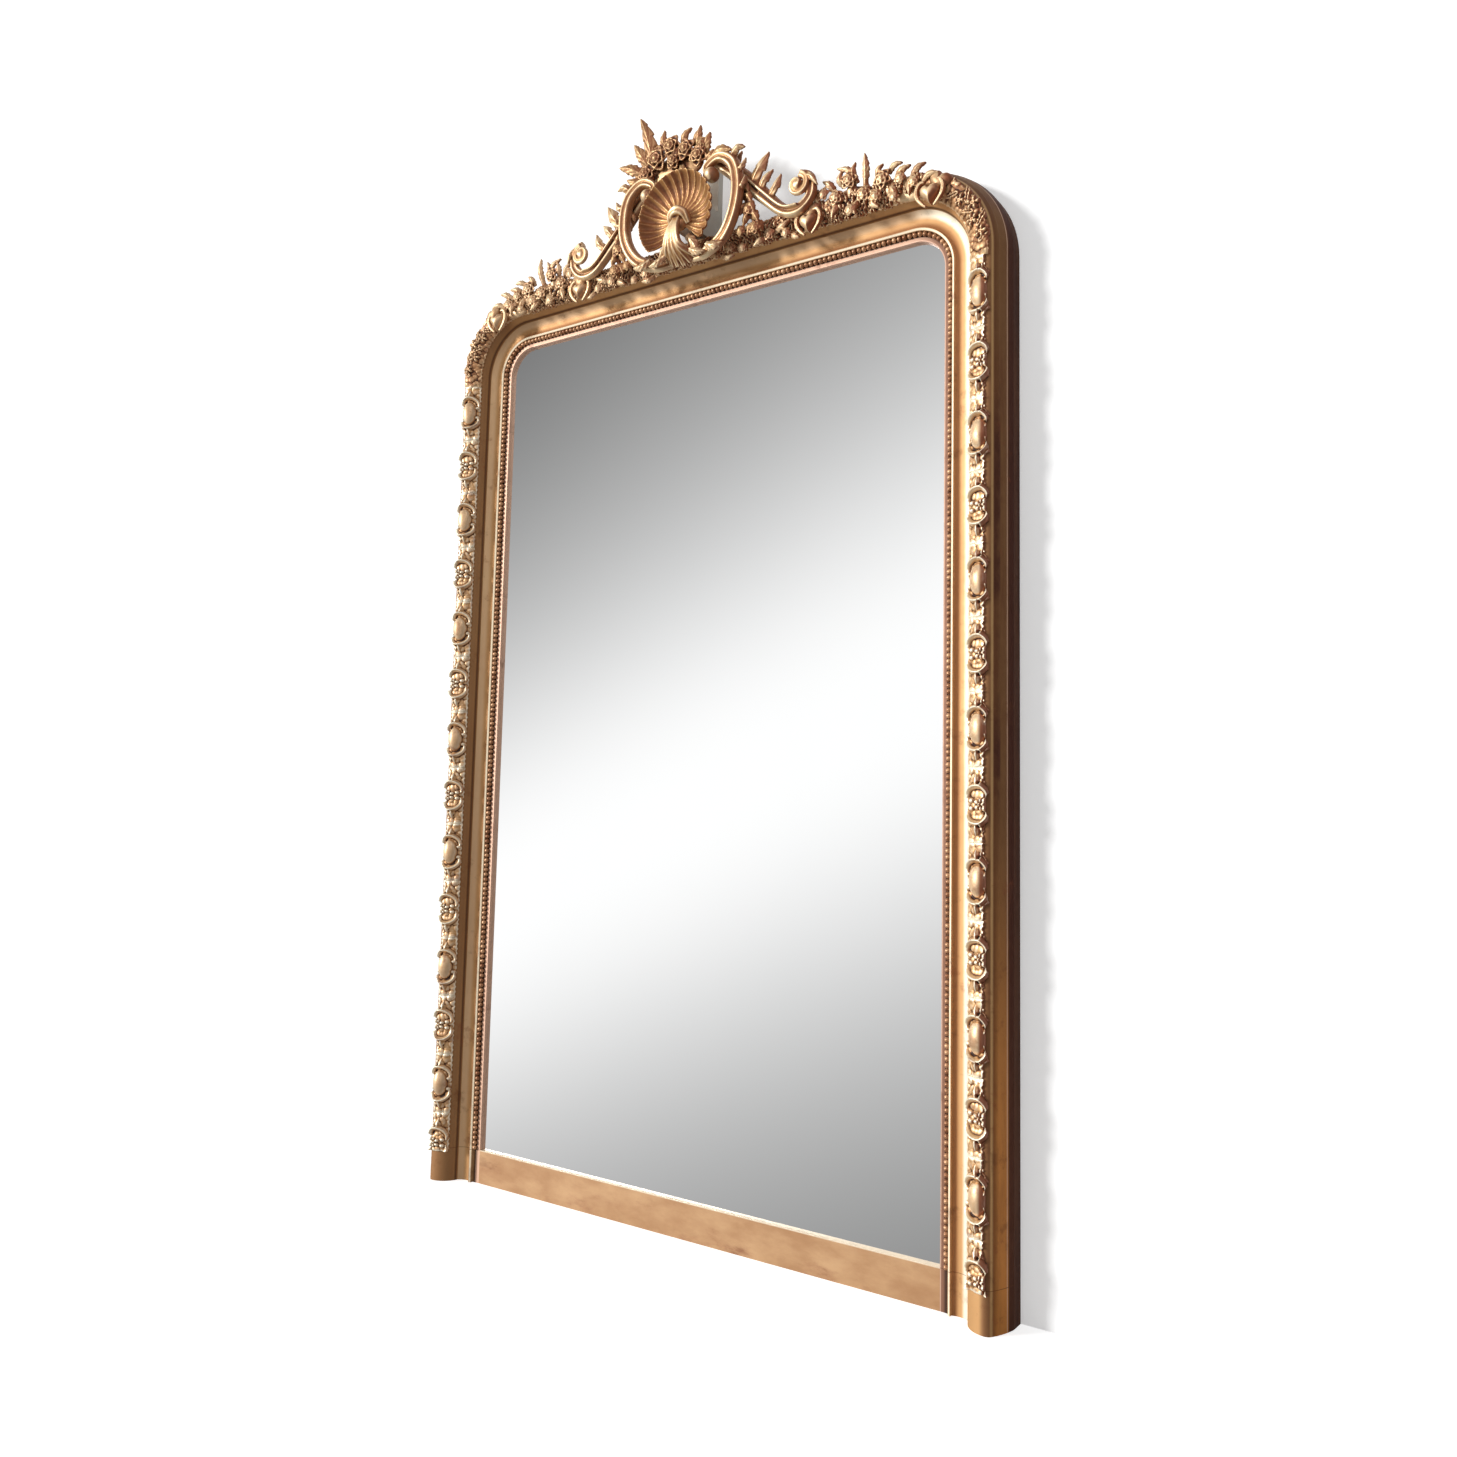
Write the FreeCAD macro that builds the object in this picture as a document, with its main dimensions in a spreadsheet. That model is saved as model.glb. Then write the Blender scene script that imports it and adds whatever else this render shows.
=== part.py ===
"""Gilt overmantel mirror with a rocaille crest, built up as the maker would.

Lengths are in millimetres.  Every piece is first drawn in the sight frame:
x = 0 on the middle line, y = 0 on the front of the lip (y grows towards the
wall) and z = 0 on the top edge of the bottom board.  Its placement then moves
it so that the origin of the part is the middle of the underside.
"""
import math
import os

import FreeCAD
import Part
import Sketcher

Vec = FreeCAD.Vector
Turn = FreeCAD.Rotation

SIZES = {
    # the opening and the body
    "sight_width": 940,
    "sight_height": 1553,
    "sight_corner_radius": 52,
    "base_height": 60,
    "body_depth": 31,
    # inner moulding, measured outwards from the sight edge
    "lip_width": 7,
    "bead_channel_width": 8,
    "bead_channel_depth": 1,
    "bead_width": 7,
    "bead_rise": 4.2,
    "fillet_width": 4,
    "fillet_rise": 6.4,
    "fillet_slope": 2,
    "cove_step": 3.4,
    "cove_end": 47.5,
    "cove_rise": 9,
    "cove_radius": 24,
    # outer moulding
    "crown_offset": 84,
    "crown_rise": 39.8,
    "crown_radius": 37.3,
    "shoulder_offset": 91.5,
    "shoulder_rise": 36.6,
    "shoulder_radius": 13,
    "quirk_offset": 98.5,
    "quirk_rise": 25.5,
    "outer_offset": 109,
    "outer_setback": 6,
    "outer_radius": 110,
    # carcass and glazing
    "glass_setback": 7,
    "glass_thickness": 5,
    "glass_lap": 8,
    "glass_clearance": 2,
    "tenon_length": 44,
    "tenon_width": 30,
    "tenon_thickness": 6.5,
    "tenon_inset": 20,
    "fit_gap": 0.5,
    "wedge_size": 3.5,
    "wedge_length": 60,
    "wedge_count": 7,
    "backing_thickness": 6,
    "backing_count": 3,
    "backing_gap": 1,
    "batten_width": 70,
    "batten_thickness": 5,
    "batten_lap": 30,
    "batten_low": 420,
    "batten_high": 1130,
    # fixing to the wall
    "hanger_width": 44,
    "hanger_height": 90,
    "hanger_thickness": 3,
    "hanger_hole": 9,
    "hanger_spread": 530,
    "hanger_top": 1440,
    "hanger_hole_drop": 22,
    "hook_recess": 22,
    "hook_recess_depth": 9,
    "hanger_screw_step": 14,
    "hanger_screw_drop": 66,
    "batten_screw_inset": 16,
    "screw_head": 9,
    "screw_head_rise": 1.2,
    "screw_shank": 4.5,
    "screw_length": 15,
    "screw_slack": 0.2,
    "setting_spread": 250,
    "setting_length": 60,
    # running ornament
    "motif_pitch": 109,
    "motif_first": 11,
    "motif_count": 14,
    "skin_thickness": 2.5,
    "skin_inner": 56,
    "skin_outer": 97,
    "boss_length": 48,
    "boss_width": 27,
    "boss_rise": 11,
    "boss_offset": 74,
    "curl_radius": 15,
    "curl_thickness": 7,
    "pearl_radius": 3.4,
    "heart_length": 44,
    "heart_width": 34,
    "heart_rise": 12,
    "heart_spread": 250,
    "heart_level": 1618,
    "corner_heart_angle": 62,
    # crest
    "spine_width": 36,
    "spine_thickness": 14,
    "spine_low": 1580,
    "spine_high": 1800,
    "crest_screw_step": 40,
    "bracket_width": 36,
    "bracket_high": 1722,
    "bracket_front": 64,
    "shell_radius": 86,
    "shell_level": 1650,
    "shell_front": 78,
    "shell_flutes": 11,
    "shell_thickness": 7,
    "volute_spread": 231,
    "volute_level": 1677,
    "volute_front": 53,
    "volute_radius": 21,
}

doc = FreeCAD.newDocument("overmantel_mirror")
sheet = doc.addObject("Spreadsheet::Sheet", "Sizes")


def fill_sheet():
    for row, (name, number) in enumerate(SIZES.items(), 1):
        sheet.set("A%d" % row, name)
        sheet.set("B%d" % row, str(number))
        sheet.setAlias("B%d" % row, name)
    doc.recompute()


def size(name):
    """Number held by a cell of the sheet."""
    return float(sheet.get(name))


def named(expression):
    """Expression with its size names looked up in the sheet."""
    words = expression.replace("(", "( ").replace(")", " )").split()
    text = " ".join("Sizes." + w if w in SIZES else w for w in words)
    return text.replace("sqrt (", "sqrt(")


def worth(owner, expression):
    return float(owner.evalExpression(named(expression)))


# ---------------------------------------------------------------- placements
SEAT = ("0", "- body_depth / 2", "base_height")


def seat(piece, shift=("0", "0", "0"), axis=Vec(0, 0, 1), angle=0.0):
    """Put a piece drawn in the sight frame in its place in the part."""
    piece.Placement = FreeCAD.Placement(Vec(), Turn(axis, angle))
    for letter, own, extra in zip("xyz", SEAT, shift):
        target = "Placement.Base." + letter
        piece.setExpression(target, named("( %s ) + ( %s )" % (own, extra)))


def new_body(label):
    body = doc.addObject("PartDesign::Body", label)
    body.Label = label
    return body


def origin_plane(body, role):
    return next(f for f in body.Origin.OriginFeatures if f.Role == role)


# ------------------------------------------------------------------ sketches
def add_edge(sketch, start, end, bend):
    """Straight edge, or an arc when bend is (radius, side)."""
    if bend is None:
        return sketch.addGeometry(Part.LineSegment(start, end), False)
    radius, side = bend
    chord = end - start
    half = chord.Length / 2
    across = Vec(-chord.y, chord.x, 0).normalize() * side
    hollow = math.sqrt(max(radius * radius - half * half, 0))
    centre = (start + end) * 0.5 - across * hollow
    first, last = (end, start) if side > 0 else (start, end)
    angles = [math.atan2(p.y - centre.y, p.x - centre.x) for p in (first, last)]
    if angles[1] < angles[0]:
        angles[1] += 2 * math.pi
    circle = Part.Circle(centre, Vec(0, 0, 1), radius)
    return sketch.addGeometry(Part.ArcOfCircle(circle, *angles), False)


def end_at(sketch, index, point):
    """Number (1 or 2) of the end of an edge that lies on a point."""
    edge = sketch.Geometry[index]
    near_start = (edge.StartPoint - point).Length < (edge.EndPoint - point).Length
    return 1 if near_start else 2


def pin(sketch, kind, axis, index, end, expression, number):
    """Tie one coordinate of a corner to the sheet."""
    if abs(number) < 1e-9:
        sketch.addConstraint(Sketcher.Constraint("PointOnObject", index, end, axis))
        return
    place = sketch.addConstraint(
        Sketcher.Constraint(kind, -1, 1, index, end, number))
    sketch.setExpression("Constraints[%d]" % place, named(expression))


def outline(body, role, corners, bends=None, name="outline"):
    """Closed outline through corners given as pairs of expressions.

    bends maps the number of an edge to (radius expression, side).
    """
    bends = bends or {}
    sketch = body.newObject("Sketcher::SketchObject", body.Name + "_" + name)
    sketch.AttachmentSupport = (origin_plane(body, role), [""])
    sketch.MapMode = "FlatFace"
    spots = [Vec(worth(body, a), worth(body, b), 0) for a, b in corners]
    count = len(spots)
    edges = []
    for i in range(count):
        bend = bends.get(i)
        if bend:
            bend = (worth(body, bend[0]), bend[1])
        edges.append(add_edge(sketch, spots[i], spots[(i + 1) % count], bend))
    for i in range(count):
        after = (i + 1) % count
        sketch.addConstraint(Sketcher.Constraint(
            "Coincident",
            edges[i], end_at(sketch, edges[i], spots[after]),
            edges[after], end_at(sketch, edges[after], spots[after])))
    for i in range(count):
        end = end_at(sketch, edges[i], spots[i])
        pin(sketch, "DistanceX", -2, edges[i], end, corners[i][0], spots[i].x)
        pin(sketch, "DistanceY", -1, edges[i], end, corners[i][1], spots[i].y)
    for i, (radius, _) in bends.items():
        number = worth(body, radius)
        place = sketch.addConstraint(
            Sketcher.Constraint("Radius", edges[i], number))
        sketch.setExpression("Constraints[%d]" % place, named(radius))
    return sketch


def pad(body, sketch, length, symmetric=False, reverse=False):
    feature = body.newObject("PartDesign::Pad", body.Name + "_pad")
    feature.Profile = sketch
    feature.setExpression("Length", named(length))
    feature.Midplane = symmetric
    feature.Reversed = reverse
    sketch.Visibility = False
    return feature


def pocket(body, sketch, depth, reverse=False):
    feature = body.newObject("PartDesign::Pocket", body.Name + "_pocket")
    feature.Profile = sketch
    feature.setExpression("Length", named(depth))
    feature.Reversed = reverse
    sketch.Visibility = False
    return feature


def block(label, x0, x1, y0, y1, z0, z1):
    """Plain board between six expressions of the sight frame."""
    body = new_body(label)
    corners = [("0", "0"), ("%s - ( %s )" % (x1, x0), "0"),
               ("%s - ( %s )" % (x1, x0), "%s - ( %s )" % (y1, y0)),
               ("0", "%s - ( %s )" % (y1, y0))]
    sketch = outline(body, "XY_Plane", corners)
    pad(body, sketch, "%s - ( %s )" % (z1, z0))
    seat(body, (x0, y0, z0))
    return body


def drill(body, centres, radius, depth, level="0", name="holes"):
    """Round holes cut towards the wall from a level behind the XZ plane."""
    sketch = body.newObject("Sketcher::SketchObject", body.Name + "_" + name)
    sketch.AttachmentSupport = (origin_plane(body, "XZ_Plane"), [""])
    sketch.MapMode = "FlatFace"
    for x, z in centres:
        spot = Vec(worth(body, x), worth(body, z), 0)
        number = worth(body, radius)
        index = sketch.addGeometry(Part.Circle(spot, Vec(0, 0, 1), number), False)
        pin(sketch, "DistanceX", -2, index, 3, x, spot.x)
        pin(sketch, "DistanceY", -1, index, 3, z, spot.y)
        place = sketch.addConstraint(Sketcher.Constraint("Radius", index, number))
        sketch.setExpression("Constraints[%d]" % place, named(radius))
    sketch.setExpression("AttachmentOffset.Base.z", named("- ( %s )" % level))
    return pocket(body, sketch, depth)


# ---------------------------------------------------------- moulding sections
def inner_section(side):
    """Lip, bead channel, fillet and hollow; side is + or - along x."""
    fillet_start = "( lip_width + bead_channel_width )"
    fillet_end = "( lip_width + bead_channel_width + fillet_width )"
    steps = [("0", "0"),
             ("lip_width", "0"),
             ("lip_width", "bead_channel_depth"),
             (fillet_start, "bead_channel_depth"),
             (fillet_start, "- fillet_rise"),
             (fillet_end, "- fillet_rise - fillet_slope"),
             (fillet_end, "- cove_step"),
             ("cove_end", "- cove_rise"),
             ("cove_end", "glass_setback"),
             ("0", "glass_setback")]
    corners = [("%s ( %s )" % (side, w), y) for w, y in steps]
    turn = 1 if side == "+" else -1
    return corners, {6: ("cove_radius", turn)}


def outer_section(side):
    """Half-round band with a quirk and a splayed side."""
    steps = [("cove_end", "- cove_rise"),
             ("crown_offset", "- crown_rise"),
             ("shoulder_offset", "- shoulder_rise"),
             ("quirk_offset", "- quirk_rise"),
             ("quirk_offset + 0.8", "- quirk_rise + 2.4"),
             ("outer_offset", "outer_setback"),
             ("outer_offset", "glass_setback"),
             ("cove_end", "glass_setback")]
    corners = [("%s ( %s )" % (side, w), y) for w, y in steps]
    turn = -1 if side == "+" else 1
    bends = {0: ("crown_radius", turn), 1: ("shoulder_radius", turn),
             4: ("outer_radius", turn)}
    return corners, bends


def bead_section(side):
    """Half-round rod that the beads are turned on."""
    near = "lip_width + ( bead_channel_width - bead_width ) / 2"
    far = "lip_width + ( bead_channel_width + bead_width ) / 2"
    steps = [(near, "bead_channel_depth"),
             (near, "bead_channel_depth - bead_rise + bead_width / 2 - 3"),
             (far, "bead_channel_depth - bead_rise + bead_width / 2 - 3"),
             (far, "bead_channel_depth")]
    corners = [("%s ( %s )" % (side, w), y) for w, y in steps]
    turn = -1 if side == "+" else 1
    return corners, {1: ("bead_width / 2 + 0.02", turn)}


STRAIGHT_UP = "( sight_height - sight_corner_radius )"
STRAIGHT_ACROSS = "( sight_width - 2 * sight_corner_radius )"
HALF = "sight_width / 2"


def shifted(corners, amount):
    return [("( %s ) + %s" % (w, amount), y) for w, y in corners]


def moulding_set(stem, section):
    """Left and right lengths, the top length and the two corner pieces."""
    for side, word in (("-", "left"), ("+", "right")):
        body = new_body("%s_%s" % (stem, word))
        corners, bends = section(side)
        pad(body, outline(body, "XY_Plane", corners, bends), STRAIGHT_UP)
        seat(body, ("%s %s" % (side, HALF), "0", "0"))
    body = new_body(stem + "_top")
    corners, bends = section("+")
    pad(body, outline(body, "XY_Plane", corners, bends), STRAIGHT_ACROSS, True)
    seat(body, ("0", "0", "sight_height"), Vec(0, 1, 0), -90)
    for side, word, angle in (("-", "left", -90), ("+", "right", 0)):
        body = new_body("%s_corner_%s" % (stem, word))
        corners, bends = section("+")
        wide = shifted(corners, "sight_corner_radius")
        sketch = outline(body, "XY_Plane", wide, bends)
        turned = body.newObject("PartDesign::Revolution", body.Name + "_turned")
        turned.Profile = sketch
        turned.ReferenceAxis = (sketch, ["V_Axis"])
        turned.Angle = 90
        turned.Reversed = True
        sketch.Visibility = False
        middle = "%s ( %s - sight_corner_radius )" % (side, HALF)
        seat(body, (middle, "0", STRAIGHT_UP), Vec(0, 1, 0), angle)


def plinths():
    """Blocks with the sections of both mouldings, left plain."""
    for side, word in (("-", "left"), ("+", "right")):
        body = new_body("plinth_" + word)
        inner, _ = inner_section(side)
        outer, _ = outer_section(side)
        flat = "- bead_channel_depth * 0.6"
        start = ("%s ( lip_width )" % side, flat)
        stop = ("%s ( lip_width + bead_channel_width )" % side, flat)
        corners = ([inner[0], ("%s ( lip_width )" % side, "0"), start, stop]
                   + inner[4:7] + outer[:7]
                   + [("%s ( 0 )" % side, "glass_setback")])
        turn = 1 if side == "+" else -1
        bends = {6: ("cove_radius", turn), 7: ("crown_radius", -turn),
                 8: ("shoulder_radius", -turn), 11: ("outer_radius", -turn)}
        pad(body, outline(body, "XY_Plane", corners, bends), "base_height")
        seat(body, ("%s %s" % (side, HALF), "0", "- base_height"))


# ------------------------------------------------------------------- carcass
RABBET = "( glass_lap + glass_clearance )"


def stiles():
    """Uprights with a rounded shoulder, a tenon above and a mortise below."""
    for side, word in (("-", "left"), ("+", "right")):
        body = new_body("stile_" + word)
        reach = "( sight_corner_radius + outer_offset )"
        rise = "( sight_corner_radius + %s )" % RABBET
        cut = "sqrt ( %s * %s - %s * %s )" % (reach, reach, rise, rise)
        top = "sight_height + " + RABBET
        steps = [(RABBET, "- base_height"),
                 ("outer_offset", "- base_height"),
                 ("outer_offset", STRAIGHT_UP),
                 ("%s - sight_corner_radius" % cut, top),
                 (RABBET, top)]
        corners = [("%s ( %s )" % (side, w), z) for w, z in steps]
        turn = -1 if side == "+" else 1
        sketch = outline(body, "XZ_Plane", corners, {2: (reach, turn)})
        thick = "body_depth - glass_setback"
        pad(body, sketch, thick, reverse=True)
        near = "%s ( tenon_inset )" % side
        far = "%s ( tenon_inset + tenon_width )" % side
        tenon(body, rectangle(near, far, top, top + " + tenon_length"), "tenon")
        mouth = "%s ( %s )" % (side, RABBET)
        deep = "%s ( %s + tenon_length + fit_gap )" % (side, RABBET)
        low = "- base_height + tenon_inset / 2 - fit_gap / 2"
        high = "- base_height + tenon_inset / 2 + tenon_width + fit_gap / 2"
        mortise(body, rectangle(mouth, deep, low, high), "mortise")
        seat(body, ("%s %s" % (side, HALF), "glass_setback", "0"))


def cheek(body, sketch):
    """Move a joint's sketch to the cheek of its tenon or mortise."""
    lower = "- ( body_depth - glass_setback - tenon_thickness ) / 2"
    sketch.setExpression("AttachmentOffset.Base.z", named(lower))


def rectangle(x0, x1, z0, z1):
    return [(x0, z0), (x1, z0), (x1, z1), (x0, z1)]


def tenon(body, corners, name):
    sketch = outline(body, "XZ_Plane", corners, name=name)
    cheek(body, sketch)
    pad(body, sketch, "tenon_thickness", reverse=True)


def mortise(body, corners, name):
    sketch = outline(body, "XZ_Plane", corners, name=name)
    cheek(body, sketch)
    pocket(body, sketch, "tenon_thickness", reverse=False)


def top_rail():
    """Rail with rounded ends, mortised for the tenons of the stiles."""
    body = new_body("top_rail")
    reach = "( sight_corner_radius + outer_offset )"
    rise = "( sight_corner_radius + %s )" % RABBET
    cut = "sqrt ( %s * %s - %s * %s )" % (reach, reach, rise, rise)
    end = "( %s - sight_corner_radius + %s )" % (HALF, cut)
    flat = "( %s - sight_corner_radius )" % HALF
    corners = [("- %s" % end, RABBET), (end, RABBET),
               (flat, "outer_offset"), ("- %s" % flat, "outer_offset")]
    bends = {1: (reach, -1), 3: (reach, -1)}
    sketch = outline(body, "XZ_Plane", corners, bends)
    pad(body, sketch, "body_depth - glass_setback", reverse=True)
    for side, word in (("-", "left"), ("+", "right")):
        near = "%s ( %s + tenon_inset - fit_gap / 2 )" % (side, HALF)
        far = "%s ( %s + tenon_inset + tenon_width + fit_gap / 2 )" % (side, HALF)
        deep = "%s + tenon_length + fit_gap" % RABBET
        mortise(body, rectangle(near, far, RABBET, deep), "mortise_" + word)
    back = "body_depth - glass_setback"
    half = "( spine_width / 2 + fit_gap )"
    low = "( spine_low - sight_height )"
    bed = outline(body, "XZ_Plane", rectangle(
        "- " + half, half, low + " - fit_gap", "outer_offset + 1"), name="spine_bed")
    bed.setExpression("AttachmentOffset.Base.z",
                      named("- ( %s - spine_thickness )" % back))
    pocket(body, bed, "spine_thickness + 1")
    spots = [("0", "%s + crest_screw_step * %s" % (low, share))
             for share in ("0.5", "1.5")]
    drill(body, spots, "screw_shank / 2 + screw_slack", "screw_length",
          "%s - screw_length - fit_gap" % back, "screw_holes")
    seat(body, ("0", "glass_setback", "sight_height"))


def glazing():
    """Plate, setting wedges, backing boards, battens and their nails."""
    out = "( %s + glass_lap )" % HALF
    hold = "( %s + %s - fit_gap )" % (HALF, RABBET)
    block("mirror_plate", "- " + out, out, "glass_setback",
          "( glass_setback + glass_thickness )",
          "- glass_lap", "( sight_height + glass_lap )")
    behind = "( glass_setback + glass_thickness )"
    for number in range(int(size("backing_count"))):
        share = "( sight_height + 2 * %s - 2 * fit_gap )" % RABBET
        low = "( - %s + fit_gap + %d * %s / backing_count )" % (RABBET, number, share)
        high = "( %s + %s / backing_count - backing_gap )" % (low, share)
        front = "( %s + wedge_size )" % behind
        block("backing_board_%d" % (number + 1), "- " + hold, hold, front,
              "( %s + backing_thickness )" % front, low, high)


def wedges():
    """Softwood wedges behind the glass edge and blocks under it."""
    half = size("sight_width") / 2
    front = size("glass_setback") + size("glass_thickness")
    thick, long = size("wedge_size"), size("wedge_length")
    solids = []
    count = int(size("wedge_count"))
    for i in range(count):
        level = size("sight_height") * (i + 0.5) / count - long / 2
        for x in (-half - 7, half - 7):
            solids.append(Part.makeBox(14, thick, long, Vec(x, front, level)))
    feature("glazing_wedges", Part.makeCompound(solids))
    lap, gap = size("glass_lap"), size("glass_clearance")
    wide, spread = size("setting_length"), size("setting_spread")
    feature("setting_blocks", Part.makeCompound([
        Part.makeBox(wide, size("glass_thickness"), gap,
                     Vec(x - wide / 2, size("glass_setback"), -lap - gap))
        for x in (-spread, spread)]))


def battens():
    lap = "( %s + %s + batten_lap )" % (HALF, RABBET)
    front = "( body_depth - batten_thickness )"
    inset = "batten_screw_inset"
    for word in ("low", "high"):
        level = "batten_" + word
        body = block("back_batten_" + word, "- " + lap, lap, front, "body_depth",
                     level, "( %s + batten_width )" % level)
        spots = [(x, z) for x in (inset, "2 * %s - %s" % (lap, inset))
                 for z in (inset, "batten_width - " + inset)]
        drill(body, spots, "screw_shank / 2 + screw_slack", "batten_thickness",
              name="bores")
        drill(body, spots, "screw_head / 2 + screw_slack", "screw_head_rise + 1",
              "batten_thickness - screw_head_rise", "sinks")


def housings():
    """Beds, screw holes and hook recesses in the backs of the stiles."""
    back = "body_depth - glass_setback"
    inset = "batten_screw_inset"
    for side, word in (("-", "left"), ("+", "right")):
        body = doc.getObject("stile_" + word)
        holes = []
        for number, level in enumerate(("batten_low", "batten_high")):
            near = "%s ( %s )" % (side, RABBET)
            far = "%s ( %s + batten_lap + fit_gap )" % (side, RABBET)
            low = "%s - fit_gap" % level
            high = "%s + batten_width + fit_gap" % level
            bed = outline(body, "XZ_Plane", rectangle(near, far, low, high),
                          name="bed_%d" % number)
            bed.setExpression("AttachmentOffset.Base.z",
                              named("- ( %s - batten_thickness )" % back))
            pocket(body, bed, "batten_thickness + 1")
            x = "%s ( %s + batten_lap - %s )" % (side, RABBET, inset)
            holes += [(x, "%s + %s" % (level, inset)),
                      (x, "%s + batten_width - %s" % (level, inset))]
        middle = "( hanger_spread - %s )" % HALF
        edge = "( hanger_width / 2 + fit_gap )"
        bed = outline(body, "XZ_Plane", rectangle(
            "%s ( %s - %s )" % (side, middle, edge),
            "%s ( %s + %s )" % (side, middle, edge),
            "hanger_top - hanger_height - fit_gap", "hanger_top + fit_gap"),
            name="plate_bed")
        bed.setExpression("AttachmentOffset.Base.z",
                          named("- ( %s - hanger_thickness )" % back))
        pocket(body, bed, "hanger_thickness + 1")
        drill(body, [("%s %s" % (side, middle), "hanger_top - hanger_hole_drop")],
              "hook_recess / 2", "hook_recess_depth + 1",
              "%s - hook_recess_depth" % back, "hook_recess")
        holes += [("%s ( %s %s hanger_screw_step )" % (side, middle, way),
                   "hanger_top - hanger_screw_drop") for way in "+-"]
        drill(body, holes, "screw_shank / 2 + screw_slack",
              "screw_length + fit_gap + 1", "%s - screw_length - fit_gap" % back,
              "screw_holes")


def screw(x, z):
    """Wood screw driven from the back, its head flush with the back."""
    back = size("body_depth")
    toward = Vec(0, -1, 0)
    head = Part.makeCylinder(size("screw_head") / 2, size("screw_head_rise"),
                             Vec(x, back, z), toward)
    shank = Part.makeCylinder(size("screw_shank") / 2, size("screw_length"),
                              Vec(x, back, z), toward)
    slot = Part.makeBox(size("screw_head"), 0.6, 1.2,
                        Vec(x - size("screw_head") / 2, back - 0.6, z - 0.6))
    return head.fuse(shank).removeSplitter().cut(slot)


def wall_fixings():
    """Hanging plates let in flush, and every screw seen from behind."""
    back, high, wide = size("body_depth"), size("hanger_height"), size("hanger_width")
    top, thick = size("hanger_top"), size("hanger_thickness")
    drop, step = size("hanger_screw_drop"), size("hanger_screw_step")
    slack = size("screw_slack")
    plate_screws = []
    for side, word in ((-1, "left"), (1, "right")):
        middle = side * size("hanger_spread")
        plate = Part.makeBox(wide, thick, high,
                             Vec(middle - wide / 2, back - thick, top - high))
        hole = Part.makeCylinder(size("hanger_hole") / 2, thick,
                                 Vec(middle, back, top - size("hanger_hole_drop")),
                                 Vec(0, -1, 0))
        tools = [hole]
        for x in (middle - step, middle + step):
            plate_screws.append(screw(x, top - drop))
            spot = Vec(x, back, top - drop)
            tools.append(Part.makeCylinder(size("screw_shank") / 2 + slack, thick,
                                           spot, Vec(0, -1, 0)))
            tools.append(Part.makeCylinder(size("screw_head") / 2 + slack,
                                           size("screw_head_rise"), spot,
                                           Vec(0, -1, 0)))
        feature("hanging_plate_" + word, plate.cut(tools))
    feature("plate_screws", Part.makeCompound(plate_screws))
    reach = (size("sight_width") / 2 + size("glass_lap") + size("glass_clearance")
             + size("batten_lap") - size("batten_screw_inset"))
    inset = size("batten_screw_inset")
    levels = [size("batten_" + word) + rise for word in ("low", "high")
              for rise in (inset, size("batten_width") - inset)]
    feature("batten_screws", Part.makeCompound(
        [screw(x, z) for x in (-reach, reach) for z in levels]))
    feature("crest_screws", Part.makeCompound(
        [screw(0, size("spine_low") + size("crest_screw_step") * share)
         for share in (0.5, 1.5)]))


def bottom_parts():
    """Front board between the plinths and the rail that carries the glass."""
    block("base_board", "- " + HALF, HALF, "0", "glass_setback",
          "- base_height", "0")
    body = new_body("bottom_rail")
    wide = "( %s + %s )" % (HALF, RABBET)
    high = "base_height - " + RABBET
    sketch = outline(body, "XZ_Plane", rectangle("- " + wide, wide, "0", high))
    pad(body, sketch, "body_depth - glass_setback", reverse=True)
    low = "tenon_inset / 2"
    top = "tenon_inset / 2 + tenon_width"
    for side, word in (("-", "left"), ("+", "right")):
        near = "%s ( %s )" % (side, wide)
        far = "%s ( %s + tenon_length )" % (side, wide)
        tenon(body, rectangle(near, far, low, top), "tenon_" + word)
    seat(body, ("0", "glass_setback", "- base_height"))


# ------------------------------------------------------- carved and cast work
def feature(label, shape):
    """Piece with a free shape, drawn in the sight frame."""
    piece = doc.addObject("Part::Feature", label)
    piece.Label = label
    piece.Shape = shape if shape.Placement.isIdentity() else Part.makeCompound([shape])
    seat(piece)
    return piece


def ovoid(x, y, z, rx, ry, rz, tilt=0):
    """Egg-like boss with its half-lengths; tilt turns it in the front plane."""
    ball = Part.makeSphere(1)
    stretch = FreeCAD.Matrix(rx, 0, 0, 0, 0, ry, 0, 0, 0, 0, rz, 0, 0, 0, 0, 1)
    egg = ball.transformGeometry(stretch)
    egg.rotate(Vec(), Vec(0, 1, 0), tilt)
    egg.translate(Vec(x, y, z))
    return egg


def ring_arc(x, y, z, radius, thick, start, sweep):
    """Part of a ring in the front plane, from start degrees anticlockwise."""
    arc = Part.makeTorus(radius, thick, Vec(), Vec(0, -1, 0), -180, 180, sweep)
    arc.rotate(Vec(), Vec(0, -1, 0), start)
    arc.translate(Vec(x, y, z))
    return arc


def section_at(point, along, width, thick):
    """Oval wire square to a path that runs in or near the front plane."""
    flat = along.cross(Vec(0, 1, 0)).normalize()
    deep = along.cross(flat).normalize()
    if width < thick:
        flat, deep, width, thick = deep, flat, thick, width
    width = max(width, thick * 1.001)
    oval = Part.Ellipse(point + flat * width, point + deep * thick, point)
    return Part.Wire([oval.toShape()])


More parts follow.
